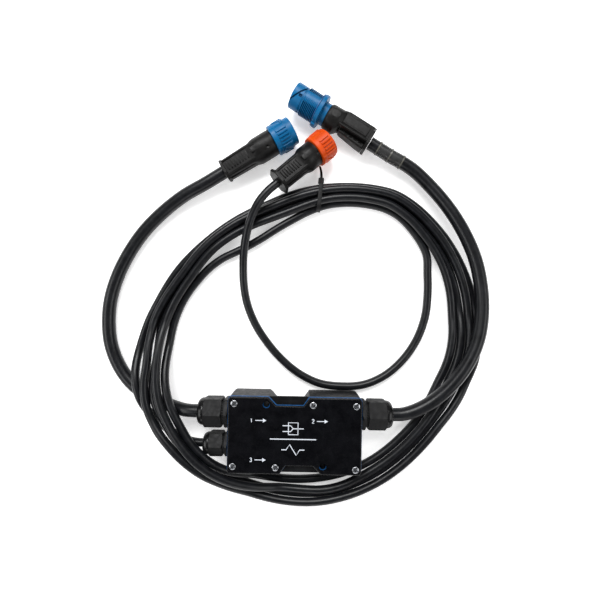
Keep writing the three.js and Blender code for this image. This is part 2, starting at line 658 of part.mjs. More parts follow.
function addCables() {
  add('inlet_cable', tube(INLET_ROUTE, THICK_CABLE, STEPS.inlet), CABLE_BLACK);
  add('outlet_cable', tube(OUTLET_ROUTE, THICK_CABLE, STEPS.outlet), CABLE_BLACK);
  add('warning_cable_lead_in', tube(LEAD_IN_ROUTE, THIN_CABLE, STEPS.leadIn, 10), CABLE_BLACK);
  add('warning_cable_loop', tube(LOOP_ROUTE, THIN_CABLE, STEPS.loop, 10), CABLE_BLACK);
  const cuts = [
    ...crossing(INLET_ROUTE, THICK_CABLE, STEPS.inlet, true),
    ...crossing(OUTLET_ROUTE, THICK_CABLE, STEPS.outlet, false),
    ...crossing(LEAD_IN_ROUTE, THIN_CABLE, STEPS.leadIn, true),
    ...crossing(LOOP_ROUTE, THIN_CABLE, STEPS.loop, false),
    atTie(band(TIE.slack - GAP, TIE.slack + 4, TIE.width / 2 + GAP)),
  ];
  add('warning_cable_coil', build([coilRing()], cuts), CABLE_BLACK);
}

// A band round the coil's section at the tie, between two distances from that section.
function band(inner, outer, halfWidth) {
  const section = coilSection(TIE_ANGLE);
  const grown = (by) => polygon(coilCorners({
    inner: section.inner - by, outer: section.outer + by, top: section.top + by, foot: section.foot - by,
  }));
  return build([slab(grown(outer), -halfWidth, halfWidth)], [slab(grown(inner), -halfWidth - 1, halfWidth + 1)]);
}

// Turn a shape drawn as [radius, height, across] into its place at the tie's angle on the coil.
function atTie(geometry) {
  const turn = THREE.MathUtils.degToRad(TIE_ANGLE);
  const [c, s] = [Math.cos(turn), Math.sin(turn)];
  return geometry.applyMatrix4(new THREE.Matrix4().set(
    c, 0, s, COIL_CENTRE[0],
    s, 0, -c, COIL_CENTRE[1],
    0, 1, 0, 0,
    0, 0, 0, 1,
  ));
}

// The strap runs round the coil, with its head and tail on the outside.
function cableTie() {
  const half = TIE.width / 2;
  const reach = coilSection(TIE_ANGLE).outer + TIE.slack;
  const head = box(reach + 0.6, reach + 6.5, 3.5, 9, -half - 1, half + 1);
  const tail = box(reach + 5, reach + 19, 6, 7.2, -half + 0.6, half - 0.6);
  return atTie(build([band(TIE.slack, TIE.slack + TIE.thick, half), head, tail]));
}

// A clear printed sleeve on the outlet cable behind the plug.
function labelSleeve() {
  const whole = route(OUTLET_ROUTE);
  const [from, to] = [0.895, 0.972];
  const points = [];
  for (let i = 0; i <= 3; i++) points.push(whole.getPointAt(from + (to - from) * i / 3));
  const section = circle(THICK_CABLE / 2 + 1.4, 12);
  section.holes.push(new THREE.Path(circle(THICK_CABLE / 2 + 0.9, 12).getPoints()));
  const along = new THREE.CatmullRomCurve3(points);
  return new THREE.ExtrudeGeometry(section, { steps: 4, extrudePath: along, bevelEnabled: false });
}

addBox();
addBoard();
addGlands();
addSocket('blue_socket', BLUE_SOCKET, BLUE_SOCKET_AT, BLUE);
addSocket('orange_socket', ORANGE_SOCKET, ORANGE_SOCKET_AT, ORANGE);
addPlug();
addCables();
add('cable_tie', cableTie(), RUBBER);
add('label_sleeve', labelSleeve(), CLEAR);

export default model;
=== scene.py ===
import math
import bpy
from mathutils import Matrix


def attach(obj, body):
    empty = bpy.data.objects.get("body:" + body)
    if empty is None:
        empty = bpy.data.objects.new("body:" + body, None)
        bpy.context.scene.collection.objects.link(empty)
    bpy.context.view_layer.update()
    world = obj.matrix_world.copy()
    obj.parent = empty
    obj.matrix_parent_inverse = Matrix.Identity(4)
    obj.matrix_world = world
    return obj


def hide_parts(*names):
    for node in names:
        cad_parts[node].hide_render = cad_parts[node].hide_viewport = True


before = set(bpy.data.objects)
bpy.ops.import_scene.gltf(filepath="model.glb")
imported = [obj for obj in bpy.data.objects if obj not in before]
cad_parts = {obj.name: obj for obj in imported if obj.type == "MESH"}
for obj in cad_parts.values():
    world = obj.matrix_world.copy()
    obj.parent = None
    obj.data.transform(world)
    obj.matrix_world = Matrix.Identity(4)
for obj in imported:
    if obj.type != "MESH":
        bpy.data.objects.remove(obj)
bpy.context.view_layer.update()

from types import SimpleNamespace

import bmesh
import bpy
import numpy as np
from mathutils import Matrix, Vector

# Trailer brake junction box with three glanded cables and bayonet connectors.
# Solid shapes are drawn in millimetres and scaled to metres as a mesh is made. Routes are in metres.
MM = 0.001

# ---- camera ----

CAMERA_AT = (0.0031, 0.1417, 0.430)
CAMERA_TURN = math.radians(1.05)
VIEW_HALF_WIDTH = 0.345                # half of what the camera sees across the floor
SENSOR_WIDTH = 36


def linked(name, data):
    """A new object of the scene that shows this data."""
    made = bpy.data.objects.new(name, data)
    bpy.context.scene.collection.objects.link(made)
    return made


def add_camera():
    data = bpy.data.cameras.new("camera")
    data.sensor_width = SENSOR_WIDTH
    data.lens = data.sensor_width / 2 * CAMERA_AT[2] / VIEW_HALF_WIDTH
    data.dof.use_dof = False
    camera = linked("camera", data)
    camera.location = CAMERA_AT
    camera.rotation_euler = (0, 0, CAMERA_TURN)
    bpy.context.scene.camera = camera


add_camera()

# ---- cables ----

THICK_CABLE = 0.0144
THIN_CABLE = 0.009
REST = 0.0048                          # height of the thin cable's centre where it lies on the floor

INLET_ROUTE = [
    (-0.1055, 0.0185, 0.021), (-0.118, 0.0186, 0.0198), (-0.132, 0.02, 0.015), (-0.146, 0.0232, 0.0099),
    (-0.161, 0.0283, 0.0075), (-0.178, 0.038, 0.0073), (-0.192, 0.052, 0.0073), (-0.203, 0.07, 0.0073),
    (-0.21, 0.09, 0.0073), (-0.2125, 0.113, 0.0073), (-0.211, 0.137, 0.0073), (-0.204, 0.163, 0.0073),
    (-0.192, 0.189, 0.0073), (-0.175, 0.215, 0.0073), (-0.154, 0.237, 0.0082), (-0.129, 0.256, 0.011),
    (-0.104, 0.2697, 0.0137), (-0.0838, 0.282, 0.01487),
]
OUTLET_ROUTE = [
    (0.1055, 0.0185, 0.021), (0.118, 0.019, 0.021), (0.134, 0.0245, 0.0214), (0.151, 0.035, 0.0226),
    (0.1695, 0.053, 0.0244), (0.1855, 0.076, 0.0254), (0.1965, 0.102, 0.0248), (0.2015, 0.13, 0.0226),
    (0.2015, 0.158, 0.0198), (0.196, 0.188, 0.018), (0.1845, 0.216, 0.017), (0.1685, 0.243, 0.0155),
    (0.1495, 0.267, 0.0135), (0.125, 0.29, 0.013), (0.099, 0.3044, 0.0141), (0.0771, 0.3171, 0.01537),
]
LEAD_IN_ROUTE = [
    (-0.0995, -0.016, 0.021), (-0.108, -0.0159, 0.0202), (-0.116, -0.0152, 0.018),
    (-0.124, -0.0138, 0.0146), (-0.132, -0.0114, 0.0112), (-0.14, -0.0078, 0.0089),
    (-0.1475, -0.003, 0.0083),
]
# From under the coil, out and over the inlet cable, up to the coil's outermost lane.
RISE_ROUTE = [
    (-0.1545, 0.0035, 0.0093), (-0.161, 0.0115, 0.0122), (-0.1668, 0.021, 0.0162), (-0.1715, 0.032, 0.0191),
    (-0.1751, 0.044, 0.0194), (-0.1775, 0.056, 0.0168), (-0.1784, 0.068, 0.0122), (-0.1778, 0.08, 0.0076),
]
LEAVE_ROUTE = [(0.1449, 0.1989, REST)]
LOOP_ROUTE = [
    (-0.0233, 0.2678, 0.02706), (-0.033, 0.259, 0.028), (-0.043, 0.247, 0.0275), (-0.051, 0.231, 0.025),
    (-0.0565, 0.214, 0.021), (-0.06, 0.196, 0.0153), (-0.0615, 0.178, 0.0092), (-0.061, 0.158, 0.0054),
    (-0.057, 0.137, REST), (-0.048, 0.115, REST), (-0.035, 0.095, REST), (-0.018, 0.0755, REST),
    (0.003, 0.0585, REST), (0.027, 0.0475, REST), (0.052, 0.0446, REST), (0.077, 0.0468, REST),
    (0.1, 0.057, REST), (0.12, 0.0745, REST), (0.136, 0.098, REST), (0.1455, 0.125, REST),
    (0.148, 0.15, REST), (0.1475, 0.174, REST),
]

COIL_CENTRE = (0.010, 0.092)
# Angle in degrees about the coil's centre, then its inner and outer radius there in millimetres.
COIL_STATIONS = [
    (0, 158, 196), (15, 165, 201), (30, 171, 203), (45, 174, 204), (60, 174, 203), (75, 162, 190),
    (84, 153, 182.5), (95, 141, 175), (107, 136, 168), (120, 137, 165.5), (135, 139, 166),
    (150, 139, 171), (165, 144, 178), (180, 149, 190), (190, 152, 197), (197, 154, 199), (205, 155, 197),
    (212, 155.5, 193), (220, 157, 188), (230, 158, 185), (240, 157.5, 182), (255, 152, 181),
    (270, 149, 181), (285, 148, 180), (300, 147.5, 179), (315, 147, 178), (330, 149, 180),
    (345, 152, 190),
]
COIL_START = 180                       # the angle where the cable joins the coil, on its left
COIL_END = 1570                        # degrees travelled clockwise from there when the cable leaves
COIL_STEP = 7.5
TIE_ANGLE = 85.5

# Hills over the coil's angle: (height, middle in degrees, spread in degrees).
TIE_LIFT = (1.7, TIE_ANGLE, 12)        # millimetres the strap lifts the cable
STRAY_FROM = 1360                      # the last pass hangs inside the others over the upper left,
STRAY = (13, 122, 20)                  # by so many millimetres
SECOND_PASS = 200                      # from here the cable lies inside the outermost pass,
OUTER_GAPS = ((0.17, 151, 12), (0.3, 187, 11))   # which stands off by a share of the width left
INNER_LANE = 0.9                       # up to here the cable lies outside the innermost pass,
INNER_GAP = (0.2, 281, 11)             # which stands off by a share of the width so far


def smoothstep(t):
    t = min(max(t, 0.0), 1.0)
    return t * t * (3 - 2 * t)


def coil_edges(degrees):
    """The coil's inner and outer radius in millimetres at an angle."""
    angle = degrees % 360
    i = max(k for k, station in enumerate(COIL_STATIONS) if station[0] <= angle)
    before, start, end, after = (COIL_STATIONS[(i + k) % len(COIL_STATIONS)] for k in (-1, 0, 1, 2))
    t = (angle - start[0]) / ((end[0] - start[0]) % 360)
    edges = []
    for k in (1, 2):
        a, b, c, d = before[k], start[k], end[k], after[k]
        edges.append(0.5 * (2 * b + (c - a) * t + (2 * a - 5 * b + 4 * c - d) * t * t
                            + (3 * b - a - 3 * c + d) * t ** 3))
    return edges


def hill(degrees, height, middle, spread):
    return height * math.exp(-((degrees % 360 - middle) / spread) ** 2)


def coil_lane(travelled):
    """Where in the coil's width the cable runs, from 0 at the outside to 1 at the inside."""
    turn, angle = divmod(travelled, 360)
    knots = [(0, turn / 4), (90, turn / 4), (180, turn / 3), (270, turn / 3), (360, (turn + 1) / 4)]
    for (a0, lane0), (a1, lane1) in zip(knots, knots[1:]):
        if angle <= a1:
            lane = min(lane0 + (lane1 - lane0) * smoothstep((angle - a0) / (a1 - a0)), 1.0)
            break
    degrees = COIL_START - travelled
    if travelled > SECOND_PASS:
        lane += (1 - lane) * sum(hill(degrees, *gap) for gap in OUTER_GAPS)
    if lane < INNER_LANE:
        lane *= 1 - hill(degrees, *INNER_GAP)
    return lane


def coil_point(travelled):
    """A point of the coil, in metres, after that many degrees clockwise from its left side."""
    degrees = COIL_START - travelled
    inner, outer = coil_edges(degrees)
    width = outer - inner - THIN_CABLE / MM
    radius = outer - THIN_CABLE / MM / 2 - coil_lane(travelled) * width
    if travelled > STRAY_FROM:
        radius -= hill(degrees, *STRAY)
    turn = math.radians(degrees)
    return (COIL_CENTRE[0] + radius * MM * math.cos(turn), COIL_CENTRE[1] + radius * MM * math.sin(turn),
            REST + hill(degrees, *TIE_LIFT) * MM)


SPAN_STEPS = 12                        # points worked out between two given ones


def smooth_path(points, spacing):
    """Evenly spaced points on the centripetal curve through the given ones."""
    p = [Vector(q) for q in points]
    p = [2 * p[0] - p[1]] + p + [2 * p[-1] - p[-2]]
    dense = []
    for a, b, c, d in zip(p, p[1:], p[2:], p[3:]):
        ta, tb, tc = (b - a).length ** 0.5, (c - b).length ** 0.5, (d - c).length ** 0.5
        m0 = ((b - a) / ta - (c - a) / (ta + tb) + (c - b) / tb) * tb
        m1 = ((c - b) / tb - (d - b) / (tb + tc) + (d - c) / tc) * tb
        for k in range(SPAN_STEPS):
            t = k / SPAN_STEPS
            dense.append((2 * t ** 3 - 3 * t * t + 1) * b + (t ** 3 - 2 * t * t + t) * m0
                         + (3 * t * t - 2 * t ** 3) * c + (t ** 3 - t * t) * m1)
    dense = np.array([*dense, p[-2]])
    along = np.concatenate([[0], np.cumsum(np.linalg.norm(np.diff(dense, axis=0), axis=1))])
    even = np.linspace(0, along[-1], max(2, round(along[-1] / spacing)) + 1)
    return np.stack([np.interp(even, along, dense[:, k]) for k in range(3)], axis=1)


HUMP_RADIUS = 0.100
HUMP_REACH = 0.100                     # how far along to each side a hump is worked out
TOUCH = 0.0003                         # spare room left where cables cross
CROSSED_SPACING = 0.002                # between the points of a cable that others pass over
EVENING = 5                            # points to each side that even out the coil's height


def raised(path, chosen, cables):
    """The path in long low humps, so that its chosen points pass over other cables."""
    part = path[chosen]
    need = np.zeros(len(part))
    for centre_line, diameter in cables:
        reach = (diameter + THIN_CABLE) / 2 + TOUCH
        for x, y, z in centre_line:
            apart = (part[:, 0] - x) ** 2 + (part[:, 1] - y) ** 2
            top = z + np.sqrt(np.maximum(reach ** 2 - apart, 0))
            need = np.where(apart < reach ** 2, np.maximum(need, top), need)
    along = np.concatenate([[0], np.cumsum(np.linalg.norm(np.diff(path[:, :2], axis=0), axis=1))])
    out = path.copy()
    places = along[chosen]
    for i in np.nonzero(need > REST)[0]:
        near = np.abs(along - places[i]) < HUMP_REACH
        hump = need[i] - (along[near] - places[i]) ** 2 / (2 * HUMP_RADIUS)
        out[near, 2] = np.maximum(out[near, 2], hump)
    return out


def coil_laid(path):
    """The coil's turns laid on the floor and on each other, and over the cables that run below them."""
    turn = np.unwrap(np.arctan2(path[:, 1] - COIL_CENTRE[1], path[:, 0] - COIL_CENTRE[0]))
    travelled = -COIL_START - np.degrees(turn)
    in_coil = (travelled > -1) & (travelled < COIL_END)
    upper = in_coil & (np.floor((travelled + COIL_START) / 360) % 2 == 1)
    lower = in_coil & ~upper
    below = [(smooth_path(route, CROSSED_SPACING), diameter)
             for route, diameter in ((INLET_ROUTE, THICK_CABLE), (LEAD_IN_ROUTE, THIN_CABLE))]
    out = raised(path, lower, below)
    out = raised(out, upper, [*below, (out[lower], THIN_CABLE)])
    kernel = np.exp(-np.linspace(-2, 2, 2 * EVENING + 1) ** 2)
    even = np.convolve(np.pad(out[:, 2], EVENING, mode="edge"), kernel / kernel.sum(), mode="valid")
    out[in_coil, 2] = np.maximum(even[in_coil], REST)
    return out


def add_cable(name, path, diameter, *nodes):
    """A jacket along the path, in place of its CAD nodes."""
    curve = bpy.data.curves.new(name, "CURVE")
    curve.dimensions = "3D"
    curve.bevel_depth = diameter / 2
    curve.bevel_resolution = 5
    curve.use_fill_caps = True
    spline = curve.splines.new("POLY")
    spline.points.add(len(path) - 1)
    spline.points.foreach_set("co", np.hstack([path, np.ones((len(path), 1))]).ravel())
    spline.use_smooth = True
    curve.materials.append(CABLE)
    cable = linked(name, curve)
    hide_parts(*nodes)
    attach(cable, "box")
    return cable


# ---- materials ----

DUST = (0.16, 0.155, 0.15)
SCRATCH_DEPTH = 0.02


def set_inputs(node, values):
    for name, value in values.items():
        node.inputs[name].default_value = value


def finish(name, colour, rough, tint=0.3, patches=90.0, rough_spread=0.1, grain=1500.0, bump=0.15,
           depth=0.05, metallic=0.0, coat=0.0, specular=0.5, dust=0.0, dust_scale=700.0, scratches=0.0):
    """A moulded, drawn or plated surface: patchy colour, uneven gloss, fine grain and a little dust."""
    made = bpy.data.materials.new(name)
    made.use_nodes = True
    nodes, links = made.node_tree.nodes, made.node_tree.links
    shader = nodes["Principled BSDF"]
    set_inputs(shader, {"Metallic": metallic, "Specular IOR Level": specular, "Coat Weight": coat,
                        "Coat Roughness": 0.12})
    place = nodes.new("ShaderNodeTexCoord").outputs["Object"]

    def noise(scale, detail, distortion=0.0):
        node = nodes.new("ShaderNodeTexNoise")
        set_inputs(node, {"Scale": scale, "Detail": detail, "Distortion": distortion})
        links.new(place, node.inputs["Vector"])
        return node.outputs["Fac"]

    def spread(value, low, high, out_low, out_high):
        node = nodes.new("ShaderNodeMapRange")
        set_inputs(node, {"From Min": low, "From Max": high, "To Min": out_low, "To Max": out_high})
        links.new(value, node.inputs["Value"])
        return node.outputs["Result"]

    def mixed(share, first, second):
        node = nodes.new("ShaderNodeMix")
        node.data_type = "RGBA"
        links.new(share, node.inputs[0])
        for socket, value in ((node.inputs[6], first), (node.inputs[7], second)):
            if isinstance(value, tuple):
                socket.default_value = (*value, 1)
            else:
                links.new(value, socket)
        return node.outputs[2]

    def bumped(height, strength, millimetres):
        node = nodes.new("ShaderNodeBump")
        set_inputs(node, {"Strength": strength, "Distance": millimetres * MM})
        links.new(height, node.inputs["Height"])
        return node

    cloud = noise(patches, 5, 0.4)
    grit = noise(grain, 3)
    darker = tuple(c * (1 - tint) for c in colour)
    lighter = tuple(min(1, c * (1 + tint) + 0.002) for c in colour)
    base = mixed(spread(cloud, 0.3, 0.7, 0, 1), darker, lighter)
    gloss = spread(noise(patches * 2.7, 4, 0.8), 0.3, 0.7, rough - rough_spread, rough + rough_spread)
    if dust:
        specks = spread(noise(dust_scale, 6), 0.6, 0.78, 0, dust)
        base = mixed(specks, base, DUST)
    links.new(base, shader.inputs["Base Color"])
    links.new(gloss, shader.inputs["Roughness"])
    relief = bumped(grit, bump, depth)
    if scratches:
        streaks = nodes.new("ShaderNodeTexWave")
        set_inputs(streaks, {"Scale": 160.0, "Distortion": 14.0, "Detail": 4.0})
        links.new(place, streaks.inputs["Vector"])
        lines = bumped(streaks.outputs["Fac"], scratches, SCRATCH_DEPTH)
        links.new(relief.outputs["Normal"], lines.inputs["Normal"])
        relief = lines
    links.new(relief.outputs["Normal"], shader.inputs["Normal"])
    return made


HOUSING = finish("housing", (0.0045, 0.0047, 0.0054), 0.48, grain=2600, bump=0.3, depth=0.07, dust=0.05,
                 specular=0.13)
COVER = finish("cover", (0.0015, 0.0016, 0.0025), 0.28, rough_spread=0.05, grain=2200, bump=0.06,
               dust=0.03, specular=0.16)
SILICONE = finish("silicone", (0.005, 0.075, 0.23), 0.45, grain=1800, bump=0.1)
ZINC = finish("zinc", (0.36, 0.37, 0.39), 0.27, tint=0.3, patches=500, metallic=1.0, grain=3000,
              bump=0.1, scratches=0.15)
CABLE = finish("cable_black", (0.004, 0.0045, 0.0058), 0.33, tint=0.4, patches=120, rough_spread=0.05,
               grain=1100, bump=0.03, depth=0.05, dust=0.07, dust_scale=900, specular=0.3)
GLAND = finish("gland_black", (0.005, 0.005, 0.0054), 0.5, grain=2400, bump=0.3, depth=0.08, dust=0.05,
               specular=0.14)
GLAND_DOME = finish("gland_dome", (0.003, 0.003, 0.0034), 0.26, grain=1500, bump=0.1, dust=0.03,
                    specular=0.3)
RUBBER = finish("seal_rubber", (0.004, 0.004, 0.0043), 0.6, grain=2000, bump=0.25, specular=0.25)
SHELL = finish("shell_black", (0.004, 0.0038, 0.0036), 0.44, tint=0.35, patches=70, grain=2100, bump=0.35,
               depth=0.09, dust=0.05, specular=0.18)
PLASTIC = {"patches": 60, "grain": 2200, "bump": 0.15}
BLUE = finish("blue_plastic", (0.0, 0.1, 0.25), 0.4, tint=0.14, dust=0.02, specular=0.22, **PLASTIC)
# The darker blue paints shade into grooves, gaps between ribs and windows: painted shade.
BLUE_PAINTED_SHADE = finish("blue_painted_shade", (0.0, 0.03, 0.085), 0.6, tint=0.2, specular=0.1, **PLASTIC)
ORANGE = finish("orange_plastic", (0.56, 0.056, 0.0), 0.42, tint=0.1, specular=0.22, **PLASTIC)
# The darker orange paints shade into grooves, gaps between ribs and windows: painted shade.
ORANGE_PAINTED_SHADE = finish("orange_painted_shade", (0.17, 0.013, 0.0), 0.6, tint=0.15, specular=0.1, **PLASTIC)
BRASS = finish("contact_brass", (0.62, 0.44, 0.16), 0.25, metallic=1.0, patches=400, scratches=0.1)
BOARD = finish("board", (0.008, 0.09, 0.03), 0.4, patches=300, grain=4000, coat=0.4)
TERMINAL = finish("terminal", (0.03, 0.24, 0.07), 0.45, patches=200)
RELAY = finish("relay_black", (0.014, 0.015, 0.018), 0.42, patches=200)
CAN = finish("capacitor_can", (0.07, 0.09, 0.13), 0.35, patches=200, coat=0.3)
PRINT = finish("print_white", (0.62, 0.66, 0.72), 0.5, tint=0.08, patches=900, grain=3500, bump=0.1)
FILM = finish("clear_film", (0.13, 0.13, 0.125), 0.25, tint=0.25, patches=140, grain=900, bump=0.2)
set_inputs(FILM.node_tree.nodes["Principled BSDF"], {"Alpha": 0.12})
FILM_EDGE = finish("film_edge", (0.07, 0.067, 0.055), 0.4, tint=0.3, patches=600, grain=1500, bump=0.3)

THICK_SPACING, THIN_SPACING = 0.005, 0.004       # between the points of a jacket's path
coil = [coil_point(k * COIL_STEP) for k in range(int(COIL_END / COIL_STEP) + 1)]
warning = [*LEAD_IN_ROUTE, *RISE_ROUTE, *coil, *LEAVE_ROUTE, *reversed(LOOP_ROUTE)]
inlet_cable = add_cable("inlet_cable_jacket", smooth_path(INLET_ROUTE, THICK_SPACING), THICK_CABLE,
                        "inlet_cable")
outlet_cable = add_cable("outlet_cable_jacket", smooth_path(OUTLET_ROUTE, THICK_SPACING), THICK_CABLE,
                         "outlet_cable")
warning_cable = add_cable("warning_cable_jacket", coil_laid(smooth_path(warning, THIN_SPACING)), THIN_CABLE,
                          "warning_cable_lead_in", "warning_cable_coil", "warning_cable_loop")

# ---- shapes, in millimetres ----


def raw_mesh(name, shape):
    mesh = bpy.data.meshes.new(name)
    mesh.from_pydata([tuple(v) for v in shape[0]], [], shape[1])
    return mesh


def cleaned(mesh, distance):
    """The mesh with its doubled points merged and its faces turned outward."""
    work = bmesh.new()
    work.from_mesh(mesh)
    bmesh.ops.remove_doubles(work, verts=work.verts, dist=distance)
    bmesh.ops.recalc_face_normals(work, faces=work.faces)
    work.to_mesh(mesh)
    work.free()
    return mesh


def piece(name, shape, finishes, place=Matrix.Identity(4), replaces=None, body="box", sharp=32,
          second=None):
    """One visible piece: a closed mesh in its place, riding on its body and standing for its CAD node.
    second(centre) picks the faces that have the second of two finishes."""
    mesh = cleaned(shape if isinstance(shape, bpy.types.Mesh) else raw_mesh(name, shape), 1e-4)
    mesh.name = name
    for each in finishes if second else [finishes]:
        mesh.materials.append(each)
    if second:
        for face in mesh.polygons:
            face.material_index = int(second(face.center))
    mesh.transform(Matrix.Scale(MM, 4) @ place)
    made = linked(name, mesh)
    mesh.shade_smooth()
    mesh.set_sharp_from_angle(angle=math.radians(sharp))
    if replaces:
        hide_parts(replaces)
    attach(made, body)


def loft(rings, loop=False):
    """Skin a row of equal rings. Closed by caps at its ends, or into itself."""
    count = len(rings[0])
    verts = [p for ring in rings for p in ring]
    faces = []
    for i in range(len(rings) if loop else len(rings) - 1):
        a, b = i * count, (i + 1) % len(rings) * count
        faces += [(a + k, a + (k + 1) % count, b + (k + 1) % count, b + k) for k in range(count)]
    if not loop:
        faces.append(tuple(reversed(range(count))))
        faces.append(tuple(range(len(verts) - count, len(verts))))
    return verts, faces


def finer(profile, step, loop):
    """The profile with its long straight runs divided."""
    out = []
    pairs = zip(profile, profile[1:] + profile[:1]) if loop else zip(profile, profile[1:])
    for (x0, r0), (x1, r1) in pairs:
        parts = max(1, round(math.hypot(x1 - x0, r1 - r0) / step))
        out += [(x0 + (x1 - x0) * k / parts, r0 + (r1 - r0) * k / parts) for k in range(parts)]
    return out if loop else out + [profile[-1]]


def turned(profile, sides=72, detail=None, loop=False, step=None):
    """A body of revolution about X from (x, radius) corners. detail(x, radius, angle) gives a new radius;
    the angle is 0 on top and grows towards -Y."""
    if step:
        profile = finer(profile, step, loop)
    rings = []
    for x, radius in profile:
        ring = []
        for k in range(sides):
            angle = 2 * math.pi * k / sides
            r = detail(x, radius, math.degrees(angle)) if detail else radius
            ring.append((x, -r * math.sin(angle), r * math.cos(angle)))
        rings.append(ring)
    return loft(rings, loop)


def standing(shape):
    """The same shape with its X axis turned to point up."""
    verts, faces = shape
    return [(-z, y, x) for x, y, z in verts], faces


def moved(shape, x, y, z):
    verts, faces = shape
    return [(vx + x, vy + y, vz + z) for vx, vy, vz in verts], faces


def upright(x, y, profile, sides=40):
    """A body of revolution about a vertical axis from (z, radius) corners."""
    return moved(standing(turned(profile, sides)), x, y, 0)


def rod(x, y, z0, z1, radius):
    return upright(x, y, [(z0, radius), (z1, radius)])


def block(x0, x1, y0, y1, z0, z1, soft=0.4):
    """A rounded bar along X."""
    cy, cz, hy, hz = (y0 + y1) / 2, (z0 + z1) / 2, (y1 - y0) / 2, (z1 - z0) / 2
    return sections([(x0, cy, cz, hy - soft, hz - soft, soft), (x0 + soft, cy, cz, hy, hz, soft * 1.5),
                     (x1 - soft, cy, cz, hy, hz, soft * 1.5), (x1, cy, cz, hy - soft, hz - soft, soft)], 3)


def rounded(cy, cz, hy, hz, corner, steps, flat=False):
    """A rectangle in Y and Z with rounded or flat corners, as a ring of points."""
    corner = min(corner, hy * 0.999, hz * 0.999)
    ring = []
    for quarter, (sy, sz) in enumerate([(1, 1), (-1, 1), (-1, -1), (1, -1)]):
        for k in range(steps + 1):
            angle = math.pi / 2 * (quarter + k / steps)
            y, z = math.cos(angle), math.sin(angle)
            if flat:
                y, z = y / (abs(y) + abs(z)), z / (abs(y) + abs(z))
            ring.append((cy + sy * (hy - corner) + corner * y, cz + sz * (hz - corner) + corner * z))
    return ring


def sections(stations, steps=8, flat_to=None):
    """A bar along X through sections (x, middle y, middle z, half y, half z, corner)."""
    rings = []
    for x, cy, cz, hy, hz, corner in stations:
        flat = flat_to is not None and x <= flat_to and corner > 4
        rings.append([(x, y, z) for y, z in rounded(cy, cz, hy, hz, corner, steps, flat)])
    return loft(rings)


def fused(joined, cuts=()):
    """One mesh: the first list of shapes joined, with the second list cut away."""
    def plain_object(shape):
        return linked("work", cleaned(raw_mesh("work", shape), 1e-5))

    base = plain_object(joined[0])
    tools = []
    for shapes, operation in ((joined[1:], "UNION"), (cuts, "DIFFERENCE")):
        for shape in shapes:
            tool = plain_object(shape)
            step = base.modifiers.new("step", "BOOLEAN")
            step.object = tool
            step.operation = operation
            step.solver = "EXACT"
            tools.append(tool)
    bpy.context.view_layer.update()
    result = bpy.data.meshes.new_from_object(base.evaluated_get(bpy.context.evaluated_depsgraph_get()))
    for used in (base, *tools):
        data = used.data
        bpy.data.objects.remove(used)
        bpy.data.meshes.remove(data)
    return result


def pulse(value, half_width, soft):
    """1 within half_width of 0, falling to 0 over soft."""
    return smoothstep((half_width + soft - abs(value)) / soft)


def around(angle, middle):
    """How far an angle is from another, from -180 to 180 degrees."""
    return (angle - middle + 180) % 360 - 180


# ---- box ----

LENGTH, WIDTH, HEIGHT, WALL = 140, 80, 42, 3.2
NOTCH = SimpleNamespace(mouth=(-28, 15), flat=(-19.5, 9), depth=8.8)
CORNER = 4
COVER_Z = (39.2, 42)
GASKET_Z = (37.9, 38.9)
RIM_Z = 37.6
THICK_GLAND_Y, THIN_GLAND_Y = 18.5, -16
POSTS = [(x, y) for x in (-44, 44) for y in (-20, 20)]   # under the circuit board
COVER_SCREWS = [(-63.5, 33), (19, 32.5), (64, 32), (-64, -32.5), (-19.5, -33), (64, -34)]
BOLT_HOLES = [(-30, 32), (30, -32)]
BOLT_RADIUS = 3.75
GLAND_Z = 21


def outline(grow, z, steps=8):
    """The box's outline at a height, grown outward, with its two point-symmetric notches."""
    hx, hy = LENGTH / 2 + grow, WIDTH / 2 + grow
    radius = max(CORNER + grow, 0.5)
    side = 0.6 * grow
    notch = [(-NOTCH.mouth[1] + side, -hy), (-NOTCH.flat[1] + side, -hy + NOTCH.depth),
             (-NOTCH.flat[0] - side, -hy + NOTCH.depth), (-NOTCH.mouth[0] - side, -hy)]
    half = list(notch)
    for cx, cy, first in ((hx - radius, -hy + radius, -90), (hx - radius, hy - radius, 0)):
        for k in range(steps + 1):
            angle = math.radians(first + 90 * k / steps)
            half.append((cx + radius * math.cos(angle), cy + radius * math.sin(angle)))
    return [(x, y, z) for x, y in half + [(-x, -y) for x, y in half]]


def quarter_round(radius, steps=4):
    """(inset, rise) pairs of a rounded edge, from the flat face to the wall."""
    out = []
    for k in range(steps + 1):
        angle = math.pi / 2 * k / steps
        out.append((radius * (1 - math.sin(angle)), radius * (1 - math.cos(angle))))
    return out


LEDGE = SimpleNamespace(bottom=33.4, top=36, into_wall=1.2)


def ledge(side):
    """The shelf that closes one notch just under the rim."""
    y0, y1 = -WIDTH / 2 + 0.25, -WIDTH / 2 + NOTCH.depth + LEDGE.into_wall
    corners = [(-NOTCH.mouth[1] - LEDGE.into_wall, y0), (-NOTCH.mouth[0] + LEDGE.into_wall, y0),
               (-NOTCH.flat[0] + LEDGE.into_wall, y1), (-NOTCH.flat[1] - LEDGE.into_wall, y1)]
    return loft([[(side * x, side * y, z) for x, y in corners] for z in (LEDGE.bottom, LEDGE.top)])


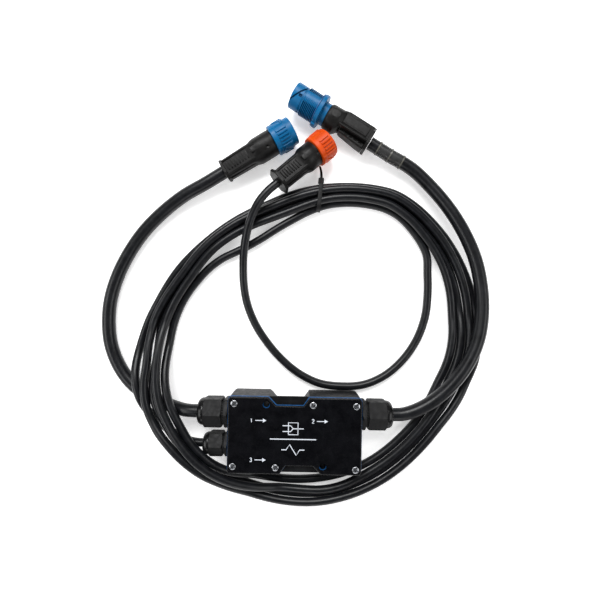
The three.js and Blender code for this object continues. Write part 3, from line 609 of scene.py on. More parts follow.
def add_housing():
    soft = [outline(-inset - 0.5, rise) for inset, rise in quarter_round(2.6)]
    shell = [*soft, outline(-0.1, 14), outline(0, 30), outline(0, RIM_Z - 0.3), outline(-0.3, RIM_Z),
             outline(-WALL, RIM_Z), outline(-WALL, 3)]
    joined = [loft(shell), ledge(1), ledge(-1)]
    joined += [rod(x, y, 32.7 if i in (0, 2) else 2, RIM_Z, 4) for i, (x, y) in enumerate(COVER_SCREWS)]
    joined += [rod(x, y, 1, RIM_Z, 6.4) for x, y in BOLT_HOLES]
    joined += [rod(x, y, 2, 7.7, 3) for x, y in POSTS]
    cuts = [rod(x, y, 33.6, RIM_Z + 1, 1.9) for x, y in COVER_SCREWS]
    cuts += [rod(x, y, -1, RIM_Z + 1, BOLT_RADIUS) for x, y in BOLT_HOLES]
    cuts += [rod(x, y, 3.7, 9, 1.3) for x, y in POSTS]
    for side, y, radius in ((-1, THICK_GLAND_Y, 12.5), (1, THICK_GLAND_Y, 12.5), (-1, THIN_GLAND_Y, 10.1)):
        hole = turned([(-WALL - 2, radius), (2, radius)], 48)
        if side < 0:
            hole = [(-x, vy, z) for x, vy, z in hole[0]], hole[1]
        cuts.append(moved(hole, side * LENGTH / 2, y, GLAND_Z))
    piece("housing_shell", fused(joined, cuts), HOUSING, replaces="housing_base")


def add_cover():
    z0, z1 = COVER_Z
    rings = [outline(-0.2, z0), outline(0, z0 + 0.2), outline(0, z1 - 1.3), outline(-0.12, z1 - 0.8),
             outline(-0.45, z1 - 0.35), outline(-0.9, z1 - 0.08), outline(-1.5, z1)]
    cuts = []
    for x, y in COVER_SCREWS:
        cuts.append(rod(x, y, z0 - 1, z1 + 1, 2))
        cuts.append(upright(x, y, [(z1 - 1.4, 4.1), (z1 - 0.4, 4.1), (z1 + 0.4, 4.9)]))
    for x, y in BOLT_HOLES:
        cuts.append(rod(x, y, z0 - 1, z1 + 1, BOLT_RADIUS))
        cuts.append(upright(x, y, [(z1 - 0.5, BOLT_RADIUS - 0.1), (z1 + 0.4, BOLT_RADIUS + 0.8)]))
    piece("cover_plate_moulded", fused([loft(rings)], cuts), COVER, replaces="cover_plate")


def add_gasket():
    z0, z1 = GASKET_Z
    rings = [outline(0.5, z0 + 0.2), outline(0.5, z1 - 0.2), outline(0.3, z1), outline(-12, z1),
             outline(-12, z0), outline(0.3, z0)]
    cuts = [rod(x, y, z0 - 1, z1 + 1, 2) for x, y in COVER_SCREWS]
    cuts += [rod(x, y, z0 - 1, z1 + 1, BOLT_RADIUS - 0.5) for x, y in BOLT_HOLES]
    piece("gasket_silicone", fused([loft(rings, loop=True)], cuts), SILICONE, replaces="gasket")


SCREW_SEAT = 40.9
HEAD = SimpleNamespace(radius=3.65, height=1.9, rim=0.9, cross_half_width=0.5, cross_reach=2.1,
                       cross_depth=1.5)


def screw_head(x, y, turn):
    """A pan head with a crossed recess, on its shank."""
    sides, circles, top = 64, 16, SCREW_SEAT + HEAD.height
    turns = [2 * math.pi * k / sides for k in range(sides)]
    circle = [(math.cos(a), math.sin(a)) for a in turns]
    rings = []
    for z, r in ((33.9, 0.3), (34.5, 1.6), (SCREW_SEAT - 0.5, 1.6), (SCREW_SEAT, 1.9), (SCREW_SEAT, 3.5),
                 (SCREW_SEAT + 0.15, HEAD.radius), (SCREW_SEAT + HEAD.rim, HEAD.radius)):
        rings.append([(r * c, r * s, z) for c, s in circle])

    def arm(along, across):
        return pulse(along, HEAD.cross_half_width, 0.25) * pulse(across, HEAD.cross_reach, 0.3)

    for step in range(1, circles):
        part = 1 - step / circles
        r = HEAD.radius * part
        dome = SCREW_SEAT + HEAD.rim + (HEAD.height - HEAD.rim) * math.sqrt(1 - part ** 2)
        rings.append([(r * c, r * s, dome - HEAD.cross_depth * (1 - 0.25 * part)
                       * max(arm(r * c, r * s), arm(r * s, r * c))) for c, s in circle])
    verts, faces = loft(rings)
    c, s = math.cos(turn), math.sin(turn)
    return [(x + c * vx - s * vy, y + s * vx + c * vy, min(vz, top)) for vx, vy, vz in verts], faces


def add_screws():
    for i, (x, y) in enumerate(COVER_SCREWS):
        piece(f"cover_screw_{i + 1}_zinc", screw_head(x, y, 0.45 + 1.1 * i), ZINC,
              replaces=f"cover_screw_{i + 1}", sharp=40)


def polyline(points, width):
    """A flat stroke of even width along the points, as a closed outline."""
    left, right = [], []
    for i, (x, y) in enumerate(points):
        x0, y0 = points[max(i - 1, 0)]
        x1, y1 = points[min(i + 1, len(points) - 1)]
        away = math.hypot(x1 - x0, y1 - y0)
        nx, ny = -(y1 - y0) / away * width / 2, (x1 - x0) / away * width / 2
        left.append((x + nx, y + ny))
        right.append((x - nx, y - ny))
    return left + right[::-1]


# Strokes of the numerals, on a grid 2 wide and 4 high.
NUMERALS = {
    "1": [[(0.2, 3.2), (1, 4), (1, 0)]],
    "2": [[(0, 3.2), (0.4, 3.8), (1, 4), (1.6, 3.8), (2, 3.1), (1.8, 2.4), (0, 0), (2.1, 0)]],
    "3": [[(0, 3.4), (0.5, 3.9), (1.3, 3.9), (1.9, 3.2), (1.6, 2.4), (0.9, 2.1), (1.7, 1.8), (2, 1),
           (1.5, 0.2), (0.6, 0), (0, 0.5)]],
}
PRINT_HEIGHT = 0.06


def add_print():
    """Plain numerals, arrows and a splitter symbol printed on the cover."""
    strokes = []
    for digit, x, y in (("1", -46, 14), ("2", 18, 14), ("3", -46, -27)):
        strokes += [polyline([(x + px, y + py) for px, py in stroke], 0.75) for stroke in NUMERALS[digit]]
        strokes.append(polyline([(x + 5, y + 2), (x + 14, y + 2)], 0.8))
        strokes.append([(x + 16.5, y + 2), (x + 12.9, y + 4), (x + 12.9, y)])
    cx, cy = -1.5, 8
    for width, points in (
            (0.9, [(-5, -6.2), (5, -6.2), (5, 6.2), (-5, 6.2), (-5, -5.8)]),
            (0.9, [(-11, 3), (-2.6, 3), (0, 0)]), (0.9, [(-11, -3), (-2.6, -3), (0, 0)]),
            (0.9, [(0, 0), (11, 0)]), (1.0, [(-24, -11), (24, -11)]),
            (1.0, [(-12, -22), (-7, -22), (-3.5, -16.5), (3.5, -27.5), (7, -22), (12, -22)])):
        strokes.append(polyline([(cx + px, cy + py) for px, py in points], width))
    verts, faces = [], []
    for i, stroke in enumerate(strokes):
        foot = HEIGHT + 0.01
        part = loft([[(x, y, z) for x, y in stroke] for z in (foot, foot + PRINT_HEIGHT + 0.004 * (i % 3))])
        faces += [tuple(v + len(verts) for v in face) for face in part[1]]
        verts += part[0]
    piece("cover_print", (verts, faces), PRINT)


# ---- glands, built outward along X from the outer face of the wall ----

LARGE_GLAND = SimpleNamespace(
    thread=12.2, bore=9, hex=30, hex_end=6, collar=14, collar_end=8.3, stub=12.3, stub_end=22, seat=10.3,
    seat_start=16, nut_end=28, tip=35, mouth=7.9, tip_radius=10.5, seal=7.4)
SMALL_GLAND = SimpleNamespace(
    thread=9.8, bore=7, hex=24, hex_end=5, collar=11.2, collar_end=6.9, stub=9.8, stub_end=18, seat=8.1,
    seat_start=13, nut_end=22, tip=29, mouth=5.1, tip_radius=7.6, seal=4.7)


def hexagon(angle, flats):
    """Radius of a hexagon with flats facing Y, at an angle from its top corner."""
    return flats / 2 / math.cos(math.radians((angle % 60) - 30))


def gland_parts(name, g, side, y):
    place = Matrix.Translation((side * LENGTH / 2, y, GLAND_Z))
    if side < 0:
        place = place @ Matrix.Rotation(math.pi, 4, "Z")
    corner = g.hex / math.sqrt(3)

    def body_detail(x, r, angle):
        if r > g.collar + 0.5:
            edge = min(x - 1.8, g.hex_end - x)
            return min(hexagon(angle, g.hex), corner - 1.1 + 1.5 * edge)
        if abs(r - g.thread) < 0.01:
            return r - 0.35 * (0.5 + 0.5 * math.sin(2 * math.pi * x / 1.5 - math.radians(angle)))
        if abs(r - g.collar) < 0.01:
            return r - 0.45 * pulse(angle % 12 - 6, 2.0, 1.5)
        return r

    body = [(-9.5, g.bore), (-9.5, g.thread), (1.79, g.thread), (1.8, g.collar + 0.6),
            (g.hex_end, g.collar + 0.6), (g.hex_end + 0.01, g.collar), (g.collar_end, g.collar),
            (g.collar_end + 0.01, g.stub), (g.stub_end, g.stub), (g.stub_end, g.seat),
            (g.seat_start, g.seat), (g.seat_start, g.bore)]
    piece(f"{name}_gland_body_moulded", turned(body, 120, body_detail, True, 0.5), GLAND, place,
          f"{name}_gland_body", sharp=28)

    start, end, tip = g.collar_end + 0.3, g.nut_end, g.tip
    flat = g.hex / 2

    def nut_detail(x, r, angle):
        if r > flat - 0.05 and x <= end:
            edge = min(x - start, end - x)
            return min(hexagon(angle, g.hex), corner - 1.2 + 1.2 * edge)
        return r

    span, drop = tip - end, flat - 0.15 - g.tip_radius
    dome = [(end + 0.01, flat - 0.5), (end + 0.6, flat - 0.15)]
    dome += [(end + 0.6 + (span - 0.6) * math.sin(math.radians(9 * k)),
              flat - 0.15 - drop * (1 - math.cos(math.radians(9 * k)))) for k in range(1, 11)]
    nut = [(start, g.stub + 0.3), (start, flat), (end, flat), *dome, (tip - 0.5, g.mouth + 0.3),
           (tip - 1.5, g.mouth), (g.nut_end + 1, g.seat + 0.1), (g.stub_end + 0.6, g.seat + 0.1),
           (g.stub_end + 0.6, g.stub + 0.3)]
    piece(f"{name}_gland_nut_moulded", turned(nut, 120, nut_detail, True, 0.6), [GLAND, GLAND_DOME], place,
          f"{name}_gland_nut", f"{name}_gland_nut_body", sharp=28,
          second=lambda centre: centre.x > end)

    seal = [(g.seat_start + 0.3, g.seal), (g.seat_start + 0.3, g.seat - 0.3),
            (end + 0.5, g.seat - 0.3), (end + 0.5, g.seal)]
    piece(f"{name}_gland_seal_rubber", turned(seal, loop=True, step=2), RUBBER, place,
          f"{name}_gland_seal")
    washer = [(0.3, g.thread + 0.3), (0.3, flat - 0.5), (0.9, flat - 0.3), (1.5, flat - 0.5),
              (1.5, g.thread + 0.3)]
    piece(f"{name}_gland_washer_rubber", turned(washer, loop=True), RUBBER, place,
          f"{name}_gland_washer")


# ---- connectors, built along X from the face where the cable enters ----

BLUE_SOCKET = SimpleNamespace(flange=23.5, neck_end=35, body_start=42, body_end=63, band=18, collar=6.5)
ORANGE_SOCKET = SimpleNamespace(flange=27, neck_end=32, body_start=38, body_end=52, band=18, collar=2.4)
PLUG = SimpleNamespace(grip_end=38, shell_end=54.5, neck_end=61, flange_end=65.5, thread_end=84,
                       groove_end=85.5, tip=97.3)
# Each hue comes with its darker copy, which paints shade on the faces in grooves and windows.
HUES_WITH_PAINTED_SHADE = {"blue": (BLUE, BLUE_PAINTED_SHADE), "orange": (ORANGE, ORANGE_PAINTED_SHADE)}
FLANGE_THICK = 3.5
BODY_RADIUS = 14.3
CARRIER_RADIUS = 11.2
CARRIER_DEPTH = 12


def lying(at, yaw, pitch):
    return (Matrix.Translation(at) @ Matrix.Rotation(math.radians(yaw), 4, "Z")
            @ Matrix.Rotation(math.radians(-pitch), 4, "Y"))


BLUE_SOCKET_PLACE = lying((-83.3, 282.3, 14.9), 31.5, 2.8)
ORANGE_SOCKET_PLACE = lying((-22.9, 268.2, 27), 42, -7)
PLUG_PLACE = lying((76.6, 317.4, 15.4), 149.9, 3)


def end_flange(cy, half, corners, chamfer):
    """The flat flange where the cable enters."""
    edge, face = corners
    return sections([(0, cy, 0, half - 0.5, half - 0.5, edge), (0.5, cy, 0, half, half, face),
                     (FLANGE_THICK - chamfer, cy, 0, half, half, face),
                     (FLANGE_THICK, cy, 0, half - chamfer, half - chamfer, edge)], 8, flat_to=99)


def disc(x, radius):
    return (x, 0, 0, radius, radius, radius)


def socket_shell(name, s, place):
    half = s.flange / 2
    neck, rise = (10.7, 9.6), s.body_start - s.neck_end
    flange = end_flange(0, half, (half * 0.55, half * 0.56), 0.5)
    body = sections([
        (FLANGE_THICK - 1, 0, 0, neck[0] - 0.6, neck[1] - 0.6, 3), (s.neck_end - 3, 0, 0, *neck, 3.4),
        (s.neck_end - 0.5, 0, 0, neck[0] + 0.3, neck[1] + 0.4, 5),
        (s.neck_end + rise * 0.25, 0, 0, 11.6, 11.0, 7.5),
        (s.neck_end + rise * 0.55, 0, 0, 12.9, 12.6, 11),
        (s.neck_end + rise * 0.85, 0, 0, 13.9, 13.8, 13.6),
        disc(s.body_start + 0.8, BODY_RADIUS), disc(s.body_end - 3.2, BODY_RADIUS),
        disc(s.body_end - 2.8, 14.05), disc(s.body_end - 0.3, 14.05), disc(s.body_end, 13.8)], 14)
    joined = [body, flange]
    ribs, first = 8, FLANGE_THICK + 2.6
    pitch = (s.neck_end - 1.5 - first) / ribs
    for i in range(ribs):
        x = first + i * pitch
        joined.append(block(x, x + pitch * 0.52, -4.6, 4.6, -10.7, 10.7, 0.3))
    for y in (-7.6, 7.6):
        joined.append(block(FLANGE_THICK - 0.6, s.neck_end + 3.5, y - 1.15, y + 1.15, -10.4, 10.4, 0.5))
    side = neck[0]
    joined.append(block(FLANGE_THICK - 0.6, s.neck_end + 2, -side - 0.8, side + 0.8, -3.0, 3.0, 0.6))
    key = s.body_start + 6
    joined.append(block(s.neck_end + 1.5, key, -3.2, 3.2, -14.1, 14.1, 0.5))
    dimple = upright(key + 6.5, -6, [(12.0, 1.7), (14.0, 1.7)], 32)
    joined.append(upright(key + 6.5, -6, [(10.7, 0.9), (12.9, 0.9), (13.15, 0.6)], 24))
    hollow = turned([(s.body_end - CARRIER_DEPTH, CARRIER_RADIUS + 0.3),
                     (s.body_end + 1, CARRIER_RADIUS + 0.3)])
    piece(f"{name}_shell_moulded", fused(joined, [dimple, hollow]), SHELL, place, f"{name}_shell")


RING = SimpleNamespace(outer=15.9, collar=15.1, inner=14.3, lip=12.5)
# Every third of a ring has a sunk field of ribs and a raised pad with a bayonet window. Middles and the
# ribs' pitch are in degrees. WINDOW_AT is in millimetres from the ring's rear edge.
RIBS, RIB_MIDDLE, RIB_PITCH, RIB_HEIGHT, FIELD_DEPTH = 6, 26, 12, 1.35, 0.85
PAD_HEIGHT, NOTCH_DEPTH = 0.9, 0.6
WINDOW_MIDDLE, WINDOW_AT, WINDOW_DEPTH = -46, 9.5, 2.1
WINDOW_SLANT = 2.1                     # degrees per millimetre
FOOT, FOOT_HEIGHT = 5.6, 0.5           # the plain band at the rear


def coupling_ring(hue, s, place):
    start = s.body_end + 0.3
    band = start + s.band
    front = band + s.collar

    def detail(x, r, angle):
        if r < RING.collar - 0.05:
            return r
        out = 0.0
        along = x - start
        shoulder = smoothstep((along - FOOT) / 0.7) * smoothstep((band - 0.3 - x) / 0.6)
        for third in (0, 120, 240):
            middle = around(angle, third + RIB_MIDDLE)
            out -= FIELD_DEPTH * pulse(middle, RIB_PITCH * RIBS / 2, 1.2) * shoulder
            for k in range(RIBS):
                off = around(middle, RIB_PITCH * (k - (RIBS - 1) / 2))
                out = max(out, RIB_HEIGHT * pulse(off, 2.3, 1.1) * shoulder) if abs(off) < 3.5 else out
            off = around(angle, third + WINDOW_MIDDLE)
            slant = off - (along - WINDOW_AT) * WINDOW_SLANT
            window = pulse(slant, 7.5, 1.8) * pulse(along - WINDOW_AT, 4.6, 0.6)
            hook = pulse(off + 9, 6.5, 1.6) * pulse(along - 6.4, 1.6, 0.6)
            pad = pulse(off, 21, 1.8) * smoothstep((along - 0.4) / 0.6) * smoothstep((band - 0.4 - x) / 0.6)
            out = max(out, PAD_HEIGHT * pad) - WINDOW_DEPTH * max(window, hook)
            if x > band:
                out -= NOTCH_DEPTH * pulse(off, 6.5, 1.5)
        if along < FOOT and out > -0.5:
            out = max(out, FOOT_HEIGHT * smoothstep((FOOT - along) / 0.5) * smoothstep(along / 0.4 + 0.3))
        return r + out

    collar_edge = [(band + 0.4, RING.outer), (band + 0.5, RING.collar), (front - 0.5, RING.collar)]
    if s.collar < 3:
        collar_edge = [(band + 0.6, RING.outer), (front - 0.5, RING.outer - 0.2)]
    profile = [(start, RING.lip), (start, RING.outer - 0.5), (start + 0.5, RING.outer),
               *collar_edge, (front, RING.collar - 0.5), (front, RING.inner + 0.3),
               (front - 0.4, RING.inner), (start + 2.5, RING.inner), (start + 2.5, RING.lip)]

    # Faces sunk in the rib fields, windows and collar notches take the darker copy: painted shade.
    def in_painted_shade(centre):
        radius = math.hypot(centre.y, centre.z)
        if centre.x > band:
            return centre.x < front - 0.6 and RING.inner + 0.1 < radius < RING.collar - 0.2
        return centre.x > start + 1 and RING.inner + 0.3 < radius < RING.outer - 0.3

    piece(f"{hue}_socket_ring_moulded", turned(profile, 240, detail, True, 0.45), HUES_WITH_PAINTED_SHADE[hue], place,
          f"{hue}_socket_coupling_ring", f"{hue}_ring", sharp=30, second=in_painted_shade)


def contact_places():
    return [(0, 0)] + [(7.2 * math.cos(math.radians(60 * i)), 7.2 * math.sin(math.radians(60 * i)))
                       for i in range(6)]


def along_x(radius, x0, x1, y, z, sides=24):
    return moved(turned([(x0, radius), (x1, radius)], sides), 0, y, z)


def socket_carrier(hue, s, place):
    rear, front = s.body_end - CARRIER_DEPTH + 0.3, s.body_end + s.band + s.collar - 1.5
    step = s.body_end + 1
    core = turned([(rear, CARRIER_RADIUS), (step, CARRIER_RADIUS), (step, CARRIER_RADIUS + 0.6),
                   (front - 0.6, CARRIER_RADIUS + 0.6), (front, CARRIER_RADIUS)])
    cuts = []
    for y, z in contact_places():
        cuts.append(along_x(1.5, front - 9, front + 1, y, z))
        cuts.append(moved(turned([(front - 0.6, 1.4), (front + 0.4, 2.4)], 24), 0, y, z))
    for turn in (40, 160, 280):
        a = math.radians(turn)
        cuts.append(along_x(1.1, front - 12, front + 1, -11.4 * math.sin(a), 11.4 * math.cos(a)))
    piece(f"{hue}_socket_carrier_moulded", fused([core], cuts), HUES_WITH_PAINTED_SHADE[hue][0], place,
          f"{hue}_socket_carrier")
    seal = s.body_end + 4
    ring = [(seal, 12.2), (seal + 0.3, 13.8), (seal + 1.7, 13.8), (seal + 2, 12.2)]
    piece(f"{hue}_socket_seal_rubber", turned(ring, loop=True), RUBBER, place, f"{hue}_socket_seal")


def plug_shell():
    grip = (-3.9, 0, 9.5, 11.5)
    body = sections([
        (FLANGE_THICK - 1, *grip, 3.2), (PLUG.grip_end - 5, *grip, 3.4), (PLUG.grip_end - 2, *grip, 5),
        (PLUG.grip_end, -2.6, 0, 11.2, 12.6, 9), (PLUG.grip_end + 2, -1.2, 0, 12.9, 13.6, 12.4),
        (PLUG.grip_end + 4.5, 0, 0, 14.3, 14.3, 14.3), (PLUG.shell_end - 3, 0, 0, 14.0, 14.0, 14.0),
        (PLUG.shell_end - 0.8, 0, 0, 13.6, 13.6, 13.6), (PLUG.shell_end, 0, 0, 13.0, 13.0, 13.0)], 14)
    joined = [body, end_flange(-0.4, 13.5, (6, 6.2), 0.4)]
    joined.append(block(6, PLUG.grip_end - 2, -10.2, 2.4, -12.5, 12.5, 0.6))
    joined.append(block(FLANGE_THICK - 0.6, PLUG.grip_end + 1, 3.4, 5.5, -12.1, 12.1, 0.5))
    # An oval raised patch on the round part, left blank.
    cx, cy = PLUG.grip_end + 8.8, -2.0

    def oval(scale, z0, z1):
        turns = [2 * math.pi * k / 48 for k in range(48)]
        return loft([[(cx + 5.6 * math.cos(a) * scale, cy + 4.4 * math.sin(a) * scale, z) for a in turns]
                     for z in (z0, z1)])

    joined.append(oval(1, 8, 14.35))
    cuts = [oval(0.84, 13.9, 16)]
    for y in (-8.2, 0.4):
        cuts.append(block(9, PLUG.grip_end - 5, y - 0.35, y + 0.35, 12.15, 14, 0.1))
    piece("blue_plug_shell_moulded", fused(joined, cuts), SHELL, PLUG_PLACE, "blue_plug_shell")


def plug_clamp():
    """The strap that holds the cable, a wedge narrowing towards the round part."""
    start, end = FLANGE_THICK + 0.3, PLUG.grip_end - 2.3
    wedge = sections([(start, 9.2, -1, 3.1, 6.8, 1.2), (start + 0.6, 9.4, -1, 3.4, 7.3, 1.6),
                      (start + 8, 9.2, -1, 3.1, 7.2, 1.6), (end - 3, 8.0, -1, 1.9, 6.4, 1.4),
                      (end, 7.7, -1, 1.5, 5.9, 1.2)], 4)
    lip = block(start + 0.4, end - 4, 6.4, 7.3, -7.9, 5.9, 0.3)
    grooves = [block(start + 3 + 6 * i, start + 7 + 6 * i, 7.8, 9.4, 5.4, 7.5, 0.3) for i in range(4)]
    piece("blue_plug_clamp_moulded", fused([wedge, lip], grooves), SHELL, PLUG_PLACE, "blue_plug_clamp")


BARREL, BARREL_BORE, INSERT_BACK = 14.1, 12.4, 70
THREAD_PITCH, THREAD_HEIGHT = 1.8, 1.3
GROOVE_SLANT, GROOVE_DEPTH = 7.2, 1.45   # degrees per millimetre, millimetres


def plug_barrel():
    first, last = PLUG.flange_end + 0.6, PLUG.thread_end - 0.3

    def detail(x, r, angle):
        if r < 13.2:
            return r
        if first < x < last:
            turns = x / THREAD_PITCH + angle / 360
            ridge = smoothstep(0.5 + 0.8 * math.cos(2 * math.pi * turns))
            r += THREAD_HEIGHT * ridge
            patch = pulse(around(angle, 2), 24, 2.0)
            level = 15.1 if x < last - 6 else 14.8
            return r * (1 - patch) + (level + 0.5 * pulse(around(angle, -14), 7, 1) * (ridge > 0.5)) * patch
        if x >= PLUG.groove_end + 0.2:
            depth = 0.0
            climb = (x - PLUG.groove_end) * GROOVE_SLANT
            slot = pulse(x - PLUG.groove_end - 2.6, 1.6, 0.4)
            for third in (0, 120, 240):
                depth = max(depth, pulse(around(angle, third + 34 - climb), 5.0, 1.5),
                            pulse(around(angle, third - 12), 5.5, 1.2) * slot)
            return max(r - GROOVE_DEPTH * depth, BARREL_BORE + 0.35)
        if r > 17.5:
            return r + 1.4 * pulse(around(angle, -78), 7, 2)
        return r

    end = PLUG.tip
    profile = [
        (INSERT_BACK, BARREL_BORE), (INSERT_BACK, 0.4), (PLUG.shell_end + 0.3, 0.4),
        (PLUG.shell_end + 0.3, 11.9), (PLUG.shell_end + 0.6, 12.2), (PLUG.neck_end, 12.2),
        (PLUG.neck_end, 17.6), (PLUG.neck_end + 0.5, 18.2), (PLUG.flange_end - 0.5, 18.2),
        (PLUG.flange_end, 17.7), (PLUG.flange_end, BARREL), (first, BARREL), (last, BARREL),
        (PLUG.thread_end, 13.5), (PLUG.groove_end, 13.5), (PLUG.groove_end + 0.05, BARREL),
        (end - 0.5, BARREL), (end, BARREL - 0.5), (end, BARREL_BORE + 0.3), (end - 0.3, BARREL_BORE),
    ]

    # Faces in the thread's grooves and the slanted bayonet grooves take the darker copy: painted shade.
    def in_painted_shade(centre):
        radius = math.hypot(centre.y, centre.z)
        if first < centre.x < last:
            return 13.2 < radius < 14.75
        return PLUG.groove_end + 0.3 < centre.x < end - 0.4 and 12.6 < radius < BARREL - 0.5

    piece("blue_plug_barrel_moulded", turned(profile, 216, detail, True, 0.3), HUES_WITH_PAINTED_SHADE["blue"], PLUG_PLACE,
          "blue_plug_barrel", sharp=30, second=in_painted_shade)
    solids = [turned([(INSERT_BACK + 0.3, BARREL_BORE - 0.3), (INSERT_BACK + 5, BARREL_BORE - 0.3)])]
    pin = turned([(INSERT_BACK + 4, 1.2), (end - 8.6, 1.2), (end - 7.9, 0.9), (end - 7.5, 0.4)], 24)
    solids += [moved(pin, 0, y, z) for y, z in contact_places()]
    piece("blue_plug_insert_pins", fused(solids), [BLUE, BRASS], PLUG_PLACE, "blue_plug_insert",
          second=lambda centre: centre.x > INSERT_BACK + 5.05)
    face = PLUG.flange_end + 0.3
    gasket = [(face, 15.9), (face + 0.2, 17.6), (face + 1.0, 17.6), (face + 1.2, 15.9)]
    piece("blue_plug_gasket_rubber", turned(gasket, 96, loop=True), SILICONE, PLUG_PLACE,
          "blue_plug_gasket")


# ---- cable tie and label sleeve ----

TIE = SimpleNamespace(width=4.4, thick=1.2, slack=0.6)


def tie_place():
    """Takes (radius, height, across) at the tie's angle on the coil to millimetres in the frame."""
    turn = math.radians(TIE_ANGLE)
    c, s = math.cos(turn), math.sin(turn)
    return Matrix(((c, 0, s, COIL_CENTRE[0] / MM), (s, 0, -c, COIL_CENTRE[1] / MM), (0, 1, 0, 0),
                   (0, 0, 0, 1)))


def add_tie():
    inner, outer = coil_edges(TIE_ANGLE)
    foot, top = 2.0, 18.0
    slack, back, side = TIE.slack, TIE.slack + TIE.thick, TIE.width / 2
    middle, half = (inner + outer) / 2, (outer - inner) / 2
    mid_z, half_z = (foot + top) / 2, (top - foot) / 2
    corner = 5.2
    rings = []
    section = [(slack, 1.9), (slack + 0.25, side), (back - 0.25, side), (back, 1.7), (back, -1.7),
               (back - 0.25, -side), (slack + 0.25, -side), (slack, -1.9)]
    for grow, across in section:
        ring = rounded(middle, mid_z, half + grow, half_z + grow, corner + grow, 8)
        rings.append([(r, z, across) for r, z in ring])
    strap = loft(rings, loop=True)
    reach = outer + slack
    head_rings = []
    for across, inset in ((-3.2, 0.6), (-2.7, 0), (2.7, 0), (3.2, 0.6)):
        ring = rounded(reach + 3.5, 6.25, 3.0 - inset, 2.75 - inset, 1.0, 4)
        head_rings.append([(r, z, across) for r, z in ring])
    tail_rings = []
    for k in range(9):
        t = k / 8
        r, z, w = reach + 5 + 16 * t, 6.6 - 3.2 * t * t, 1.55 - 0.4 * t
        left, right = -3 * t * t - w, -3 * t * t + w
        low, high = z - 0.55, z + 0.55
        tail_rings.append([(r, low, left), (r, high, left), (r, high, right), (r, low, right)])
    piece("cable_tie_strap", fused([strap, loft(head_rings), loft(tail_rings)]), RUBBER, tie_place(),
          "cable_tie")


def ring_round(path, i, radius, sides=40):
    """A circle of points square to the path at one of its points."""
    ahead, behind = path[min(i + 1, len(path) - 1)], path[max(i - 1, 0)]
    along = (Vector(ahead) - Vector(behind)).normalized()
    side = along.cross(Vector((0, 0, 1))).normalized()
    up = side.cross(along)
    middle = Vector(path[i])
    turns = [2 * math.pi * k / sides for k in range(sides)]
    return [middle + (side * math.cos(a) + up * math.sin(a)) * radius for a in turns]


SLEEVE_FROM, SLEEVE_TO = 0.895, 0.972  # as parts of the outlet cable's length
SLEEVE_GAP, SLEEVE_THICK = 0.25, 0.45


def add_sleeve():
    """A clear sleeve on the outlet cable behind the plug, with a thin line at its ends and its middle."""
    path = smooth_path(OUTLET_ROUTE, 0.0015) / MM
    first, last = round(SLEEVE_FROM * (len(path) - 1)), round(SLEEVE_TO * (len(path) - 1))
    inner = THICK_CABLE / MM / 2 + SLEEVE_GAP
    outer = inner + SLEEVE_THICK
    out_rings = [ring_round(path, i, outer) for i in range(first, last + 1)]
    in_rings = [ring_round(path, i, inner) for i in range(last, first - 1, -1)]
    piece("label_sleeve_film", loft(out_rings + in_rings, loop=True), FILM, replaces="label_sleeve")
    edge = outer + 0.05
    end_band = ((0, inner), (0, edge), (1, edge), (1, inner))
    middle_band = ((0, inner + 0.3), (0, edge), (1, inner + 0.3))
    for number, i, band in ((1, first, end_band), (2, (first + last) // 2, middle_band),
                            (3, last - 1, end_band)):
        rings = [ring_round(path, i + ahead, radius) for ahead, radius in band]
        piece(f"label_sleeve_edge_{number}", loft(rings, loop=True), FILM_EDGE)


add_housing()
add_cover()
add_gasket()
add_screws()
add_print()
gland_parts("inlet", LARGE_GLAND, -1, THICK_GLAND_Y)
gland_parts("outlet", LARGE_GLAND, 1, THICK_GLAND_Y)
gland_parts("warning", SMALL_GLAND, -1, THIN_GLAND_Y)
for hue, socket, place in (("blue", BLUE_SOCKET, BLUE_SOCKET_PLACE),
                           ("orange", ORANGE_SOCKET, ORANGE_SOCKET_PLACE)):
    socket_shell(f"{hue}_socket", socket, place)
    socket_carrier(hue, socket, place)
    coupling_ring(hue, socket, place)
plug_shell()
plug_clamp()
plug_barrel()
add_tie()
add_sleeve()

# ---- CAD nodes that stay, inside the box ----

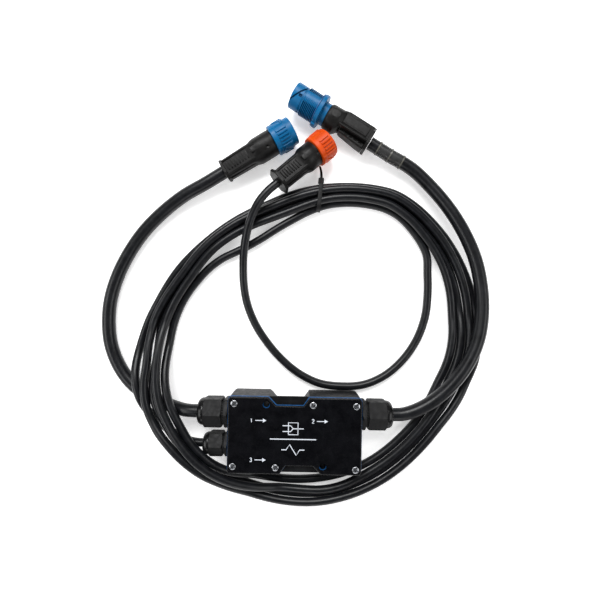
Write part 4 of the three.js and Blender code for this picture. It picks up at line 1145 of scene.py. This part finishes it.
CARRIED = (
    (BOARD, ["circuit_board"]), (RELAY, ["relay", "controller_chip"]), (CAN, ["capacitor"]),
    (ZINC, [f"board_screw_{i}" for i in (1, 2, 3, 4)]),
    (TERMINAL, [f"terminal_block_{cable}" for cable in ("inlet", "warning", "outlet")]),
    (GLAND, [f"{cable}_gland_locknut" for cable in ("inlet", "outlet", "warning")]),
)
for material, names in CARRIED:
    for name in names:
        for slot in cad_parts[name].material_slots:
            slot.material = material

# ---- floor and light ----


FLOOR_REACH, FLOOR_Z = 6.0, -0.0002


def add_stage():
    corners = ((-1, -1), (1, -1), (1, 1), (-1, 1))
    mesh = raw_mesh("floor", ([(x * FLOOR_REACH, y * FLOOR_REACH, FLOOR_Z) for x, y in corners],
                              [(0, 1, 2, 3)]))
    floor = linked("floor", mesh)
    made = bpy.data.materials.new("floor")
    made.use_nodes = True
    set_inputs(made.node_tree.nodes["Principled BSDF"], {
        "Base Color": (0.9, 0.9, 0.9, 1), "Roughness": 0.9, "Specular IOR Level": 0.1,
        "Emission Color": (1, 1, 1, 1), "Emission Strength": 0.45})
    mesh.materials.append(made)


LIGHT_TARGET, LIGHT_DISTANCE = (0, 0.13, 0), 1.5


def add_light(name, azimuth, elevation, size, power):
    data = bpy.data.lights.new(name, "AREA")
    data.shape = "RECTANGLE"
    data.size, data.size_y = size
    data.energy = power
    light = linked(name, data)
    a, e = math.radians(azimuth), math.radians(elevation)
    back = Vector((math.cos(a) * math.cos(e), math.sin(a) * math.cos(e), math.sin(e)))
    light.location = Vector(LIGHT_TARGET) + back * LIGHT_DISTANCE
    light.rotation_euler = (-back).to_track_quat("-Z", "Y").to_euler()


def add_lights():
    add_light("soft_back", 98, 52, (1.2, 0.6), 28)
    add_light("soft_left", 190, 40, (1.2, 0.6), 10)
    add_light("soft_right", 350, 40, (1.2, 0.6), 8)
    add_light("soft_front", 270, 25, (1.4, 0.5), 6)
    world = bpy.data.worlds.new("studio")
    world.use_nodes = True
    set_inputs(world.node_tree.nodes["Background"], {"Color": (1, 1, 1, 1), "Strength": 0.06})
    bpy.context.scene.world = world
    bpy.context.scene.view_settings.view_transform = "Standard"


add_stage()
add_lights()
